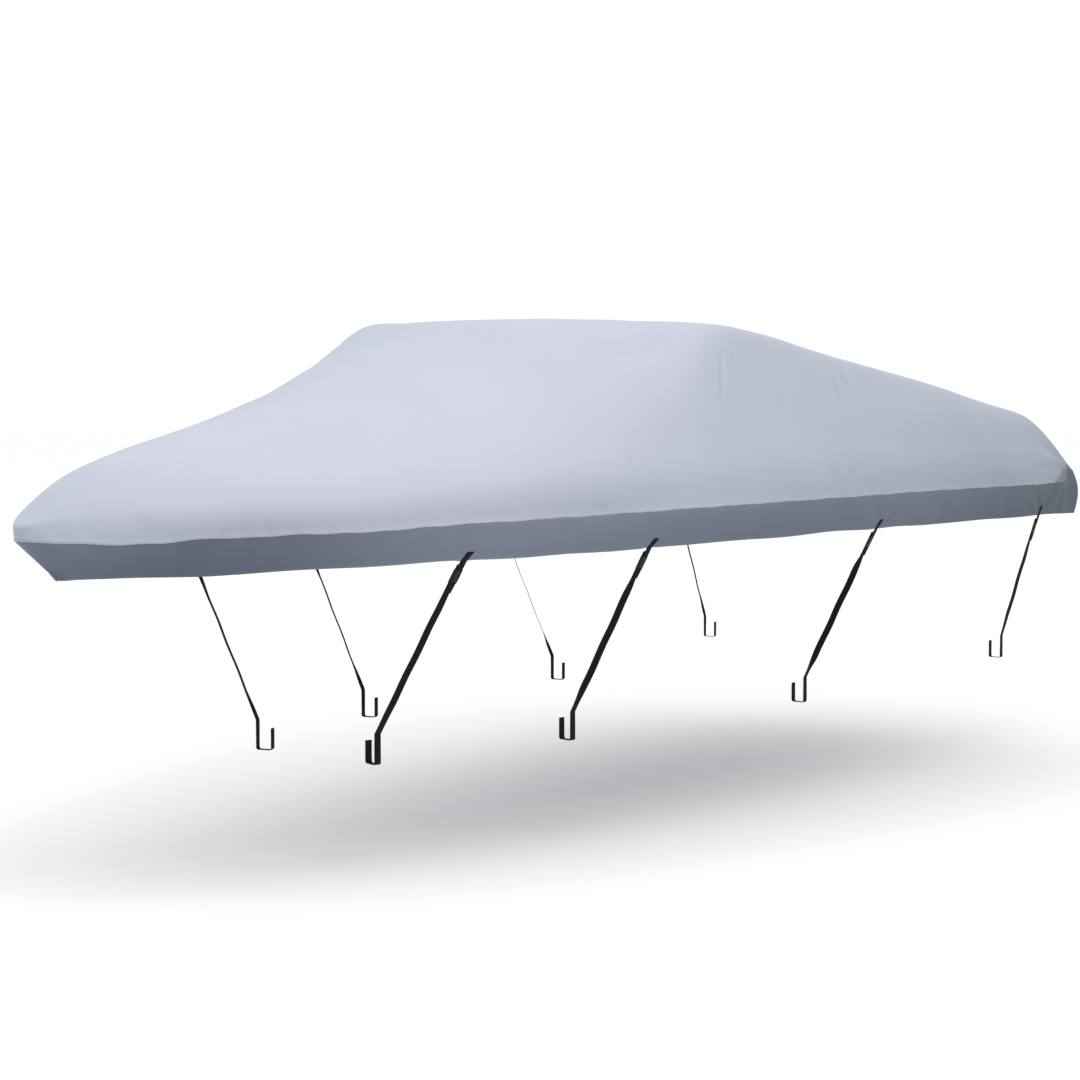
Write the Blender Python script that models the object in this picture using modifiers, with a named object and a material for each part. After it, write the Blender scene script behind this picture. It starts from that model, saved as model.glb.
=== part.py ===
"""Fitted boat cover: a draped top, a darker skirt, and straps with buckles.

The sewn top is pulled tight from the pointed bow over a high cross ridge to
the square stern. The skirt hangs from the seam all round, tucks in under it
and ends in a turned-up hem. Four straps a side hang from tabs on the skirt
and turn up behind at their feet. Metres, +Z up, bow towards -X, port side
towards -Y. The origin lies under the top, in the middle of its ridge, where
the cover is held.
"""

from math import ceil, cos, pi, tan

import bmesh
import bpy
import numpy as np
from mathutils import Matrix, Vector

# ---------------------------------------------------------------- dimensions
COLLECTION = "boat_cover"

LENGTH = 5.352                # widest line of the cover, from the bow tip to the stern
RIDGE_STATION = 2.00          # where the top is held, aft of the bow tip
RIDGE_HEIGHT = 1.868          # outside of the top there, above the ground
RIDGE_TILT = 0.010            # the ridge's starboard end is this much higher
RIDGE_TILT_REACH = 0.45
EDGE_HEIGHT_BOW = 1.156       # widest line above the ground
EDGE_HEIGHT_STERN = 1.242
EDGE_TIP_LIFT = 0.002         # extra lift at the bow tip
EDGE_TIP_REACH = 0.07         # and the length over which it fades
CORNER_RADIUS = 0.06          # stern corners of the widest line, seen from above

# The seam runs along the widest line, and climbs inside it round the stern.
CLIMB_REACH = 0.22            # length over which it climbs, before the stern
CLIMB_INSET = 0.045           # how far inside it then runs at the corner
CLIMB_INSET_STERN = 0.036     # and across the stern
CLIMB_POWER = 3.0             # how soon the skirt swells out to the widest line
SEAM_LENGTH = LENGTH - CLIMB_INSET_STERN
STERN_SLOPE = 2.45            # rise over run of the cloth above the stern seam
STERN_EASE = 0.10             # how softly the top turns down to the stern
EDGE_REACH = 0.10             # the easing is full this far inside the widest line
MIN_LEVEL_REACH = 0.2         # limits the cut of a rim where the cloth lies flat

CLOTH = 0.0025                # sheet thickness
HEM_CLOTH = 0.0040            # the hem is turned up once
GAP = 0.0003                  # between pieces that touch

# The top, a row for each section. Distances aft of the bow tip and heights
# above the ground. "knuckle" is the soft line where the steep side turns into
# the top. "fullness" is the power of the crown's curve across, and "ease" the
# roundness at the knuckle.
# station  half_breadth  knuckle_y  knuckle_z  crown_z  fullness  ease
SECTIONS = (
    (0.00, 0.000, 0.000, 1.190, 1.190, 2.0, 0.020),
    (0.05, 0.100, 0.070, 1.220, 1.228, 2.0, 0.020),
    (0.20, 0.240, 0.189, 1.260, 1.330, 2.0, 0.045),
    (0.50, 0.437, 0.365, 1.297, 1.430, 2.0, 0.055),
    (0.85, 0.612, 0.524, 1.325, 1.520, 2.0, 0.060),
    (1.20, 0.731, 0.639, 1.366, 1.625, 2.0, 0.060),
    (1.60, 0.833, 0.745, 1.430, 1.778, 2.2, 0.055),
    (1.90, 0.888, 0.808, 1.498, 1.862, 3.6, 0.050),
    (2.08, 0.914, 0.838, 1.590, 1.871, 6.0, 0.040),
    (2.32, 0.943, 0.815, 1.865, 1.875, 6.0, 0.030),
    (2.75, 0.980, 0.803, 1.838, 1.872, 4.0, 0.055),
    (3.40, 1.004, 0.800, 1.760, 1.796, 4.0, 0.060),
    (4.20, 1.006, 0.800, 1.679, 1.716, 4.0, 0.060),
    (4.80, 0.998, 0.800, 1.602, 1.640, 4.0, 0.055),
    (5.352, 0.985, 0.800, 1.545, 1.575, 4.0, 0.050),
)

# The skirt's hem, below and inside the widest line, a row for each place.
# station  drop  tuck_inwards
SKIRT = (
    (0.10, 0.117, 0.220),
    (0.35, 0.119, 0.156),
    (0.80, 0.121, 0.130),
    (1.60, 0.126, 0.105),
    (2.80, 0.132, 0.077),
    (4.00, 0.139, 0.050),
    (5.352, 0.146, 0.022),
)
BOW_RAKE = 0.115              # the hem's bow tip lies this far aft of the seam's
BOW_RAKE_REACH = 0.50         # and the rake fades out over this length
BOW_PINCH = 0.25              # least breadth of the hem there, as a share of the seam's
SKIRT_LEVELS = (0.0, 0.28, 0.56, 0.80, 0.84, 1.0)
HEM_LEVEL = 0.82              # below this the hem doubles the cloth

# Straps, the same on both sides. Each leaves the hem at its station and runs
# taut down to its foot, where it turns down, in underneath and up behind. The
# foot lies so far from the centreline and so high above the ground, and is
# turned outwards by so much for each metre aft.
# station  foot_y  foot_height  foot_spread
STRAPS = (
    (1.225, 0.272, 0.490, 0.30),
    (2.000, 0.490, 0.495, 0.20),
    (3.385, 0.630, 0.490, 0.10),
    (4.892, 0.795, 0.545, 0.10),
)
WEBBING_WIDTH = 0.025
WEBBING = 0.0016              # thickness
TAB_WIDTH = 0.020
TAB_RISE = 0.036              # the tab laps the skirt by this much above the hem
TAB_DROP = 0.032              # and hangs this far below it, round the buckle's bar
TAB_RETURN = 0.014            # then turns back behind itself
BUCKLE_WIDTH = 0.034
BUCKLE_LENGTH = 0.060
BUCKLE_BODY = 0.010           # thickness of its middle
BUCKLE_BAR = 0.004            # thickness of its frame, and width of the end bars
BUCKLE_SLOT = 0.0065          # opening beside each bar
BUCKLE_ROUND = 0.0005
BODY_GAP = 0.002              # between each slot and the thick middle
TAIL = 0.034                  # strap end turned back below the buckle
TAIL_LEAN = 0.4               # how far that end leans back in towards the strap
BAR_TURN = 0.0014             # radius of the webbing's middle at a bar's edges
KNEE_TURN = 0.010             # and where the tab leaves the hem

FOOT_DEPTH = 0.100            # the strap's foot: down its outer face,
FOOT_WIDTH = 0.055            # in underneath,
FOOT_RISE = 0.075             # and up behind to the plain end
FOOT_TURN = 0.008             # radius at its edges

# Mesh fineness: (first station, last station, intervals) and points across.
STATION_RUNS = ((0.012, 0.30, 6), (0.30, 1.80, 12), (1.80, 2.50, 9),
                (2.50, 4.90, 15), (4.90, 5.10, 2), (5.10, SEAM_LENGTH, 7))
STRAP_FLAT = 0.020            # sections this far each side of a strap
ACROSS = 34
ALONG_STERN = 12
SAMPLES = 801                 # fine steps that a section's points are chosen from
TURN_WEIGHT = 0.30            # metres of cloth that one radian of turn counts as
SHARP_ANGLE = 0.7             # radians, above which an edge is shaded sharp

MATERIALS = {
    "top_polyester": ((0.58, 0.60, 0.70), 0.80, 0.0),
    "skirt_polyester": ((0.20, 0.23, 0.28), 0.82, 0.0),
    "black_webbing": ((0.012, 0.012, 0.014), 0.70, 0.0),
    "black_acetal": ((0.018, 0.018, 0.020), 0.42, 0.0),
}


# ------------------------------------------------------------ shape functions
def smooth_curve(points):
    """A curve through (x, y) points that keeps their rises and falls."""
    x, y = np.array(points, dtype=float).T
    step = np.diff(x)
    rise = np.diff(y) / step
    slope = np.zeros_like(y)
    slope[0] = rise[0]
    slope[-1] = rise[-1]
    for i in range(1, len(x) - 1):
        if rise[i - 1] * rise[i] > 0:
            before = 2 * step[i] + step[i - 1]
            after = step[i] + 2 * step[i - 1]
            slope[i] = (before + after) / (before / rise[i - 1] + after / rise[i])

    def value(at):
        at = np.clip(at, x[0], x[-1])
        i = np.clip(np.searchsorted(x, at) - 1, 0, len(x) - 2)
        t = (at - x[i]) / step[i]
        return ((1 + 2 * t) * (1 - t) ** 2 * y[i] + t * (1 - t) ** 2 * step[i] * slope[i]
                + t * t * (3 - 2 * t) * y[i + 1] + t * t * (t - 1) * step[i] * slope[i + 1])

    return value


def along(station):
    """Place along the cover that grows fast at the bow, from 0 to 1."""
    return np.sqrt(np.clip(station, 0.0, LENGTH) / LENGTH)


def section_curves():
    """One smooth curve for each column of SECTIONS after the station."""
    rows = np.array(SECTIONS)
    return [smooth_curve(np.stack([along(rows[:, 0]), rows[:, k]], 1)) for k in range(1, 7)]


HALF_BREADTH, KNUCKLE_Y, KNUCKLE_Z, CROWN_Z, FULLNESS, EASE = section_curves()
SKIRT_DROP = smooth_curve([(row[0], row[1]) for row in SKIRT])
SKIRT_TUCK = smooth_curve([(row[0], row[2]) for row in SKIRT])


def half_breadth(station):
    """Widest line's distance from the centreline, with its stern corner rounded."""
    into = np.clip(station - (LENGTH - CORNER_RADIUS), 0.0, CORNER_RADIUS)
    corner = CORNER_RADIUS - np.sqrt(CORNER_RADIUS ** 2 - into ** 2)
    return HALF_BREADTH(along(station)) - corner


def edge_height(station):
    """The widest line droops to the bow along a parabola, and lifts at its tip."""
    fall = (1.0 - station / LENGTH) ** 2
    lift = EDGE_TIP_LIFT * np.exp(-station / EDGE_TIP_REACH)
    return EDGE_HEIGHT_STERN + (EDGE_HEIGHT_BOW - EDGE_HEIGHT_STERN) * fall + lift


def climb(station):
    """The seam's climb inside the widest line, from 0 to 1 at the stern."""
    part = np.clip((station - SEAM_LENGTH) / CLIMB_REACH + 1.0, 0.0, 1.0)
    return part * part * (3.0 - 2.0 * part)


def seam_breadth(station):
    """The seam's distance from the centreline."""
    return half_breadth(station) - CLIMB_INSET * climb(station)


def lower_of(a, b, ease):
    """The lower of two heights, with their meeting rounded off."""
    return 0.5 * (a + b - np.sqrt((a - b) ** 2 + ease ** 2))


def from_edge(inboard):
    """Rises smoothly from 0 at the widest line to 1 at EDGE_REACH inside it."""
    part = np.clip(inboard / EDGE_REACH, 0.0, 1.0)
    return part * part * (3.0 - 2.0 * part)


def top_height(station, y):
    """Cloth height: the side, crown and stern surfaces, eased together."""
    place = along(station)
    off = np.abs(y)
    breadth = half_breadth(station)
    edge = edge_height(station)
    knuckle_y = np.maximum(KNUCKLE_Y(place), 0.001)
    knuckle_z = KNUCKLE_Z(place)
    crown = CROWN_Z(place)
    run = np.maximum(HALF_BREADTH(place) - knuckle_y, 0.001)
    side = edge + (knuckle_z - edge) / run * (breadth - off)
    top = crown - (crown - knuckle_z) * (off / knuckle_y) ** FULLNESS(place)
    beside = (station - RIDGE_STATION) / RIDGE_TILT_REACH
    top = top + RIDGE_TILT * np.clip(y / knuckle_y, -1.0, 1.0) * np.exp(-beside ** 2)
    height = lower_of(side, top, EASE(place) * from_edge(breadth - off))
    fall = edge + STERN_SLOPE * (LENGTH - station)
    from_rim = np.minimum(breadth - off, LENGTH - station)
    return lower_of(height, fall, STERN_EASE * from_edge(from_rim))


def section_points(station, count):
    """Points across one section, crowded where the cloth turns."""
    breadth = float(seam_breadth(station))
    y = breadth * np.sin(np.linspace(-0.5, 0.5, SAMPLES) * pi)
    z = top_height(np.full_like(y, station), y)
    heading = np.unwrap(np.arctan2(np.diff(z), np.diff(y)))
    turn = np.abs(np.diff(heading, append=heading[-1]))
    length = np.hypot(np.diff(y), np.diff(z)) + TURN_WEIGHT * turn
    run = np.concatenate([[0.0], np.cumsum(length)])
    run = 0.5 * (run + run[-1] - run[::-1])
    at = np.linspace(0.0, run[-1], count + 1)
    y = np.interp(at, run, y)
    return np.stack([np.full_like(y, station), y, top_height(np.full_like(y, station), y)], 1)


def stations():
    """Where the sections lie: evenly in each run, and beside each strap."""
    runs = [np.linspace(a, b, n + 1) for a, b, n in STATION_RUNS]
    places = np.unique(np.round(np.concatenate(runs), 4))
    beside = np.array([row[0] + d for row in STRAPS for d in (-STRAP_FLAT, STRAP_FLAT)])
    clear = np.min(np.abs(places[:, None] - beside[None, :]), axis=1) > STRAP_FLAT
    return np.sort(np.concatenate([places[clear], beside]))


def seam_loop():
    """The seam seen from above: port side aft to bow, starboard side, stern."""
    places = stations()
    side = np.stack([places, seam_breadth(places)], 1)
    port = np.stack([side[::-1, 0], -side[::-1, 1]], 1)
    bow = np.array([[0.0, 0.0]])
    half = side[-1, 1]
    across = np.linspace(half, -half, ALONG_STERN + 1)[1:-1]
    stern = np.stack([np.full_like(across, SEAM_LENGTH), across], 1)
    return np.concatenate([port, bow, side, stern])


def widest_point(seam_xy):
    """The place on the widest line that a point of the seam stands over."""
    station, y = seam_xy
    if station > SEAM_LENGTH - 1e-6:
        return LENGTH, y * float(half_breadth(LENGTH) / seam_breadth(SEAM_LENGTH))
    out = station + CLIMB_INSET_STERN * float(climb(station))
    return out, np.sign(y) * float(half_breadth(out))


def skirt_point(seam_xy, level):
    """A point of the skirt under a seam point: level 0 is the seam, 1 the hem."""
    out, out_y = widest_point(seam_xy)
    low = min(out + BOW_RAKE * np.exp(-out / BOW_RAKE_REACH), LENGTH)
    tuck = float(SKIRT_TUCK(low))
    drop = float(SKIRT_DROP(low))
    into = max(0.0, out - (LENGTH - CORNER_RADIUS)) / CORNER_RADIUS
    low_y = np.sign(out_y) * hem_breadth(out, low, tuck)
    if seam_xy[0] > SEAM_LENGTH - 1e-6:
        low_y = out_y * (1.0 - tuck / float(HALF_BREADTH(along(LENGTH))))
    low -= tuck * min(1.0, into)
    pull = level ** (1.0 + out / LENGTH)
    swell = (1.0 - level) ** CLIMB_POWER
    seam_z = float(top_height(*seam_xy))
    return np.array([out + (low - out) * pull + (seam_xy[0] - out) * swell,
                     out_y + (low_y - out_y) * pull + (seam_xy[1] - out_y) * swell,
                     seam_z + (float(edge_height(out)) - drop - seam_z) * level])


def hem_breadth(out, low, tuck):
    """Hem's distance from the centreline along the side and round the corner."""
    if out < LENGTH - CORNER_RADIUS:
        inside = float(half_breadth(low)) - tuck
        return max(inside, BOW_PINCH * float(half_breadth(out)))
    return float(half_breadth(out)) * (1.0 - tuck / float(HALF_BREADTH(along(LENGTH))))


# --------------------------------------------------------------- mesh helpers
def to_frame(points):
    """From station, y and height above the ground to the part's own frame."""
    held = RIDGE_HEIGHT - CLOTH
    return np.asarray(points, dtype=float) - np.array([RIDGE_STATION, 0.0, held])


def material(name):
    """Principled material from the table of colours."""
    colour, roughness, metallic = MATERIALS[name]
    made = bpy.data.materials.get(name) or bpy.data.materials.new(name)
    made.use_nodes = True
    shader = made.node_tree.nodes["Principled BSDF"]
    shader.inputs["Base Color"].default_value = (*colour, 1.0)
    shader.inputs["Roughness"].default_value = roughness
    shader.inputs["Metallic"].default_value = metallic
    return made


def add_object(name, mesh, finish):
    """Put a mesh in the cover's collection with its material."""
    mesh.materials.append(material(finish))
    made = bpy.data.objects.new(name, mesh)
    bpy.data.collections[COLLECTION].objects.link(made)
    return made


def vertex_normals(points, faces):
    """Outward normals of an open surface."""
    mesh = bpy.data.meshes.new("surface")
    mesh.from_pydata(points.tolist(), [], faces)
    shape = bmesh.new()
    shape.from_mesh(mesh)
    shape.normal_update()
    normals = np.array([v.normal[:] for v in shape.verts])
    shape.free()
    bpy.data.meshes.remove(mesh)
    return normals


def sheet_solid(name, points, faces, edge_loops, level_edges, thickness, finish):
    """Closed sheet: the outer surface, the same a thickness inside, and rims.

    At level_edges the cloth is cut level, so that the sheets sewn together
    there lie rim to rim.
    """
    normals = vertex_normals(points, faces)
    inward = -normals * np.reshape(thickness, (-1, 1))
    flat = normals[level_edges] * (1.0, 1.0, 0.0)
    reach = np.maximum(np.sum(flat ** 2, axis=1, keepdims=True), MIN_LEVEL_REACH)
    inward[level_edges] = -flat / reach * np.reshape(thickness, (-1, 1))[level_edges]
    count = len(points)
    shell = np.concatenate([points, points + inward])
    inner = [[i + count for i in reversed(face)] for face in faces]
    rims = []
    for loop in edge_loops:
        for a, b in zip(loop, loop[1:] + loop[:1]):
            rims.append([b, a, a + count, b + count])
    mesh = bpy.data.meshes.new(name)
    mesh.from_pydata(shell.tolist(), [], faces + inner + rims)
    shape = bmesh.new()
    shape.from_mesh(mesh)
    bmesh.ops.triangulate(shape, faces=shape.faces[:])
    bmesh.ops.recalc_face_normals(shape, faces=shape.faces[:])
    shape.to_mesh(mesh)
    shape.free()
    mesh.shade_smooth()
    mesh.set_sharp_from_angle(angle=SHARP_ANGLE)
    return add_object(name, mesh, finish)


# --------------------------------------------------------------------- pieces
def make_top():
    """The light top: sections lofted from the bow tip to the stern."""
    places = stations()
    rows = [section_points(s, ACROSS) for s in places]
    tip = np.array([[0.0, 0.0, edge_height(0.0)]])
    points = to_frame(np.concatenate([tip] + rows))
    width = ACROSS + 1
    faces = [[0, 1 + j, 2 + j] for j in range(ACROSS)]
    for i in range(len(places) - 1):
        for j in range(ACROSS):
            a = 1 + i * width + j
            faces.append([a, a + width, a + 1 + width, a + 1])
    port = [1 + i * width for i in range(len(places))]
    starboard = [1 + i * width + ACROSS for i in range(len(places))]
    last = port[-1]
    stern = [last + j for j in range(1, ACROSS)]
    loop = [0] + port + stern + starboard[::-1]
    points[loop, 2] += 0.5 * GAP
    thickness = np.full(len(points), CLOTH)
    sheet_solid("cover_top", points, faces, [loop], loop, thickness, "top_polyester")


def skirt_rows():
    """Points of the skirt's outside, a row for each level, round the seam loop."""
    loop = seam_loop()
    rows = [[skirt_point(p, level) for p in loop] for level in SKIRT_LEVELS]
    return to_frame(np.array(rows))


def make_skirt():
    """The dark skirt: a ring from the seam down to the turned-up hem."""
    rows = skirt_rows()
    levels, count = rows.shape[:2]
    points = rows.reshape(-1, 3)
    points[:count, 2] -= 0.5 * GAP
    faces = []
    for i in range(levels - 1):
        for j in range(count):
            k = (j + 1) % count
            faces.append([i * count + j, i * count + k, (i + 1) * count + k, (i + 1) * count + j])
    thickness = np.repeat([CLOTH if v < HEM_LEVEL else HEM_CLOTH for v in SKIRT_LEVELS], count)
    seam = list(range(count))
    hem = list(range((levels - 1) * count, levels * count))
    sheet_solid("skirt", points, faces, [seam, hem[::-1]], seam + hem, thickness, "skirt_polyester")


def rounded_path(corners, step=pi / 8):
    """Points and widthwise directions along a path of (corner, radius, across)."""
    path = [(corners[0][0], corners[0][2])]
    for before, (corner, radius, across), after in zip(corners, corners[1:], corners[2:]):
        start = (before[0] - corner).normalized()
        end = (after[0] - corner).normalized()
        bend = pi - start.angle(end)
        reach = radius * tan(bend / 2)
        centre = corner + (start + end).normalized() * radius / cos(bend / 2)
        first = corner + start * reach - centre
        last = corner + end * reach - centre
        turns = max(1, ceil(bend / step))
        for k in range(turns + 1):
            path.append((centre + first.slerp(last, k / turns) * radius, across))
    path.append((corners[-1][0], corners[-1][2]))
    return path


def band(name, corners, width):
    """A webbing band: a flat strip along the rounded path, thickened both ways."""
    path = rounded_path(corners)
    strip = [tuple(point + across * edge * width / 2) for point, across in path for edge in (-1, 1)]
    faces = [[2 * i, 2 * i + 1, 2 * i + 3, 2 * i + 2] for i in range(len(path) - 1)]
    mesh = bpy.data.meshes.new(name)
    mesh.from_pydata(strip, [], faces)
    made = add_object(name, mesh, "black_webbing")
    thick = made.modifiers.new("thickness", "SOLIDIFY")
    thick.thickness = WEBBING
    thick.offset = 0.0
    thick.use_even_offset = True
    return made


def hem_place(station, side):
    """Where a strap crosses the hem: its point, the way up, aft and outwards."""
    ends = [np.array([station + d, side * float(seam_breadth(station + d))])
            for d in (-STRAP_FLAT, STRAP_FLAT)]
    low = [Vector(to_frame(skirt_point(p, 1.0))) for p in ends]
    high = [Vector(to_frame(skirt_point(p, SKIRT_LEVELS[-2]))) for p in ends]
    hem = (low[0] + low[1]) / 2
    up = ((high[0] + high[1]) / 2 - hem).normalized()
    aft = (low[1] - low[0]).normalized()
    return hem, up, aft, aft.cross(up).normalized() * -side


def make_strap(index, station, foot_y, foot_height, spread, side):
    """One tab, buckle and strap, from the skirt to the strap's foot."""
    name = f"{'port' if side < 0 else 'starboard'}_{index}"
    hem, up, aft, outward = hem_place(station, side)
    lie = outward * (GAP + WEBBING / 2)
    foot_aft = Vector((1.0, side * spread, 0.0)).normalized()
    foot_out = Vector((-side * foot_aft.y, side * foot_aft.x, 0.0))
    foot = Vector(to_frame([station, side * foot_y, foot_height]))

    knee = hem + lie
    down = (foot - knee).normalized()
    across = (aft - down * aft.dot(down)).normalized()
    face = across.cross(down) * side
    beside = face * (BUCKLE_BAR / 2 + GAP + WEBBING / 2)
    beyond = down * (BUCKLE_BAR / 2 + GAP + WEBBING / 2)
    top_bar = knee + down * TAB_DROP - beside
    low_bar = top_bar + down * (BUCKLE_LENGTH - BUCKLE_BAR)

    band(f"tab_{name}", (
        (hem + up * TAB_RISE + lie, 0.0, aft),
        (knee, KNEE_TURN, (aft + across).normalized()),
        (top_bar + beside + beyond, BAR_TURN, across),
        (top_bar - beside + beyond, BAR_TURN, across),
        (top_bar - beside - down * TAB_RETURN, 0.0, across)), TAB_WIDTH)

    make_buckle(f"buckle_{name}", (top_bar + low_bar) / 2, across, down)

    edge = foot + foot_out * WEBBING / 2
    under = edge - Vector((0.0, 0.0, FOOT_DEPTH + WEBBING / 2))
    behind = under - foot_out * (FOOT_WIDTH + WEBBING)
    band(f"strap_{name}", (
        (low_bar + beside * (1.0 - TAIL_LEAN) + down * TAIL, 0.0, across),
        (low_bar + beside - beyond, BAR_TURN, across),
        (low_bar - beside - beyond, BAR_TURN, across),
        (edge, FOOT_TURN, (across + foot_aft).normalized()),
        (under, FOOT_TURN, foot_aft),
        (behind, FOOT_TURN, foot_aft),
        (behind + Vector((0.0, 0.0, FOOT_RISE)), 0.0, foot_aft)), WEBBING_WIDTH)


def block(name, size):
    """A box mesh about its own middle."""
    mesh = bpy.data.meshes.new(name)
    shape = bmesh.new()
    bmesh.ops.create_cube(shape, size=1.0)
    bmesh.ops.scale(shape, vec=size, verts=shape.verts)
    shape.to_mesh(mesh)
    shape.free()
    return mesh


def make_buckle(name, centre, across, down):
    """A moulded buckle: a thin frame with a slot at each end and a thick middle."""
    turned = Matrix((across, down, across.cross(down))).transposed().to_4x4()
    frame = block(name, (BUCKLE_WIDTH, BUCKLE_LENGTH, BUCKLE_BAR))
    made = add_object(name, frame, "black_acetal")
    made.matrix_world = Matrix.Translation(centre) @ turned
    reach = BUCKLE_LENGTH / 2 - BUCKLE_BAR - BUCKLE_SLOT / 2
    slot = (BUCKLE_WIDTH - 2 * BUCKLE_BAR, BUCKLE_SLOT, BUCKLE_BODY)
    body_length = 2 * (reach - BUCKLE_SLOT / 2 - BODY_GAP)
    body = (BUCKLE_WIDTH - BUCKLE_BAR, body_length, BUCKLE_BODY)
    tools = (("DIFFERENCE", slot, -reach), ("DIFFERENCE", slot, reach), ("UNION", body, 0.0))
    for operation, size, place in tools:
        tool = bpy.data.objects.new(f"{name}_tool", block("tool", size))
        bpy.data.collections["cutters"].objects.link(tool)
        tool.matrix_world = Matrix.Translation(centre + down * place) @ turned
        tool.hide_render = True
        tool.display_type = "WIRE"
        step = made.modifiers.new(operation.lower(), "BOOLEAN")
        step.operation = operation
        step.object = tool
    bevel = made.modifiers.new("edges", "BEVEL")
    bevel.width = BUCKLE_ROUND
    bevel.segments = 1
    bevel.limit_method = "ANGLE"
    return made


def main():
    for old in list(bpy.data.objects):
        bpy.data.objects.remove(old)
    for name in (COLLECTION, "cutters"):
        if name not in bpy.data.collections:
            bpy.context.scene.collection.children.link(bpy.data.collections.new(name))
    make_top()
    make_skirt()
    for side in (-1, 1):
        for index, row in enumerate(STRAPS, 1):
            make_strap(index, *row, side)


main()
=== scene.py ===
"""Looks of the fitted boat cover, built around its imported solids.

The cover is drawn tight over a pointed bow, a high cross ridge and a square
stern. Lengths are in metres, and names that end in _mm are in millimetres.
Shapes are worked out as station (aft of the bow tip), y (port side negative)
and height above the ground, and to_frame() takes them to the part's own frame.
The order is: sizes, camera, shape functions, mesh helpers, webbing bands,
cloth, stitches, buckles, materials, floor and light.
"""

from math import ceil, cos, pi, radians, sin, sqrt, tan

import bpy
import numpy as np
from mathutils import Matrix, Vector


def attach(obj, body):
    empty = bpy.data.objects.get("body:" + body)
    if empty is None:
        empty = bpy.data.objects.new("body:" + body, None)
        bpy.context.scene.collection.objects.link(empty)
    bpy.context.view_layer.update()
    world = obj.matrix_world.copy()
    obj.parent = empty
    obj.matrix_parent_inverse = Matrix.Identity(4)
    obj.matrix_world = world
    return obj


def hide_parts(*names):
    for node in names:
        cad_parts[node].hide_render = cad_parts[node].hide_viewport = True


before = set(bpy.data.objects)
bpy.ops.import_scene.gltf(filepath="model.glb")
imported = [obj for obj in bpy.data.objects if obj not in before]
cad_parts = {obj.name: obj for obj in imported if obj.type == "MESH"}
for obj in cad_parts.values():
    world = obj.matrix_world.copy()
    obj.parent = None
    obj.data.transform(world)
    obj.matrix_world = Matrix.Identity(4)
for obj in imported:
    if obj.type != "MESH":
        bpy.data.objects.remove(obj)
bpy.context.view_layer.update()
SIDES = (("port", -1), ("starboard", 1))

# ------------------------------------------------------------ sizes of the part
LENGTH = 5.352                # widest line of the cover, from the bow tip to the stern
RIDGE_STATION = 2.00          # where the top is held, aft of the bow tip
RIDGE_HEIGHT = 1.868          # outside of the top there, above the ground
RIDGE_TILT = 0.010            # the ridge's starboard end is this much higher
RIDGE_TILT_REACH = 0.45       # and the tilt fades over this length each way
EDGE_HEIGHT_BOW = 1.156       # widest line above the ground
EDGE_HEIGHT_STERN = 1.242
EDGE_TIP_LIFT = 0.002         # how much higher it is at the very tip
EDGE_TIP_REACH = 0.07
CORNER_RADIUS = 0.06          # stern corners of the widest line, seen from above
CLIMB_REACH = 0.22            # the seam climbs inside the widest line over this length
CLIMB_INSET = 0.045           # to this far inside it at the stern corners
CLIMB_INSET_STERN = 0.036     # and this far ahead of the stern
CLIMB_POWER = 3.0             # how soon the skirt swells out to the widest line
SEAM_LENGTH = LENGTH - CLIMB_INSET_STERN
STERN_SLOPE = 2.45            # rise of the stern's slope for each metre forwards
STERN_EASE = 0.10             # rounding where it meets the crown
EDGE_REACH = 0.10             # width beside the rim in which each rounding fades out
CLOTH = 0.0025                # thickness of the cloth as it is built
HEM_CLOTH = 0.0040            # and of the doubled hem
GAP = 0.0003                  # left between pieces that lie on each other

# Sections of the top. The knuckle is where the side turns into the crown.
# station  half_breadth  knuckle_y  knuckle_z  crown_z  fullness  ease
SECTIONS = (
    (0.00, 0.000, 0.000, 1.190, 1.190, 2.0, 0.020),
    (0.05, 0.100, 0.070, 1.223, 1.232, 2.0, 0.035),
    (0.20, 0.240, 0.189, 1.267, 1.342, 2.0, 0.085),
    (0.50, 0.437, 0.365, 1.299, 1.434, 2.0, 0.095),
    (0.85, 0.612, 0.524, 1.325, 1.520, 2.0, 0.080),
    (1.20, 0.731, 0.639, 1.366, 1.625, 2.0, 0.060),
    (1.60, 0.833, 0.745, 1.430, 1.778, 2.2, 0.055),
    (1.90, 0.888, 0.808, 1.498, 1.862, 3.6, 0.050),
    (2.08, 0.914, 0.838, 1.590, 1.871, 6.0, 0.040),
    (2.32, 0.943, 0.815, 1.865, 1.875, 6.0, 0.030),
    (2.75, 0.980, 0.803, 1.838, 1.872, 4.0, 0.055),
    (3.40, 1.004, 0.800, 1.760, 1.796, 4.0, 0.060),
    (4.20, 1.006, 0.800, 1.679, 1.716, 4.0, 0.060),
    (4.80, 0.998, 0.800, 1.602, 1.640, 4.0, 0.055),
    (5.352, 0.985, 0.800, 1.545, 1.575, 4.0, 0.050),
)

# station  drop  tuck_inwards
SKIRT = (
    (0.10, 0.117, 0.220),
    (0.35, 0.119, 0.156),
    (0.80, 0.121, 0.130),
    (1.60, 0.126, 0.105),
    (2.80, 0.132, 0.077),
    (4.00, 0.139, 0.050),
    (5.352, 0.146, 0.022),
)
BOW_RAKE = 0.115              # how far aft of the widest line the hem lies at the tip
BOW_RAKE_REACH = 0.50
BOW_PINCH = 0.25              # least share of the breadth that the tucked hem keeps
HEM_LEVEL = 0.82              # share of the skirt's drop where the doubled hem starts

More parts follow.
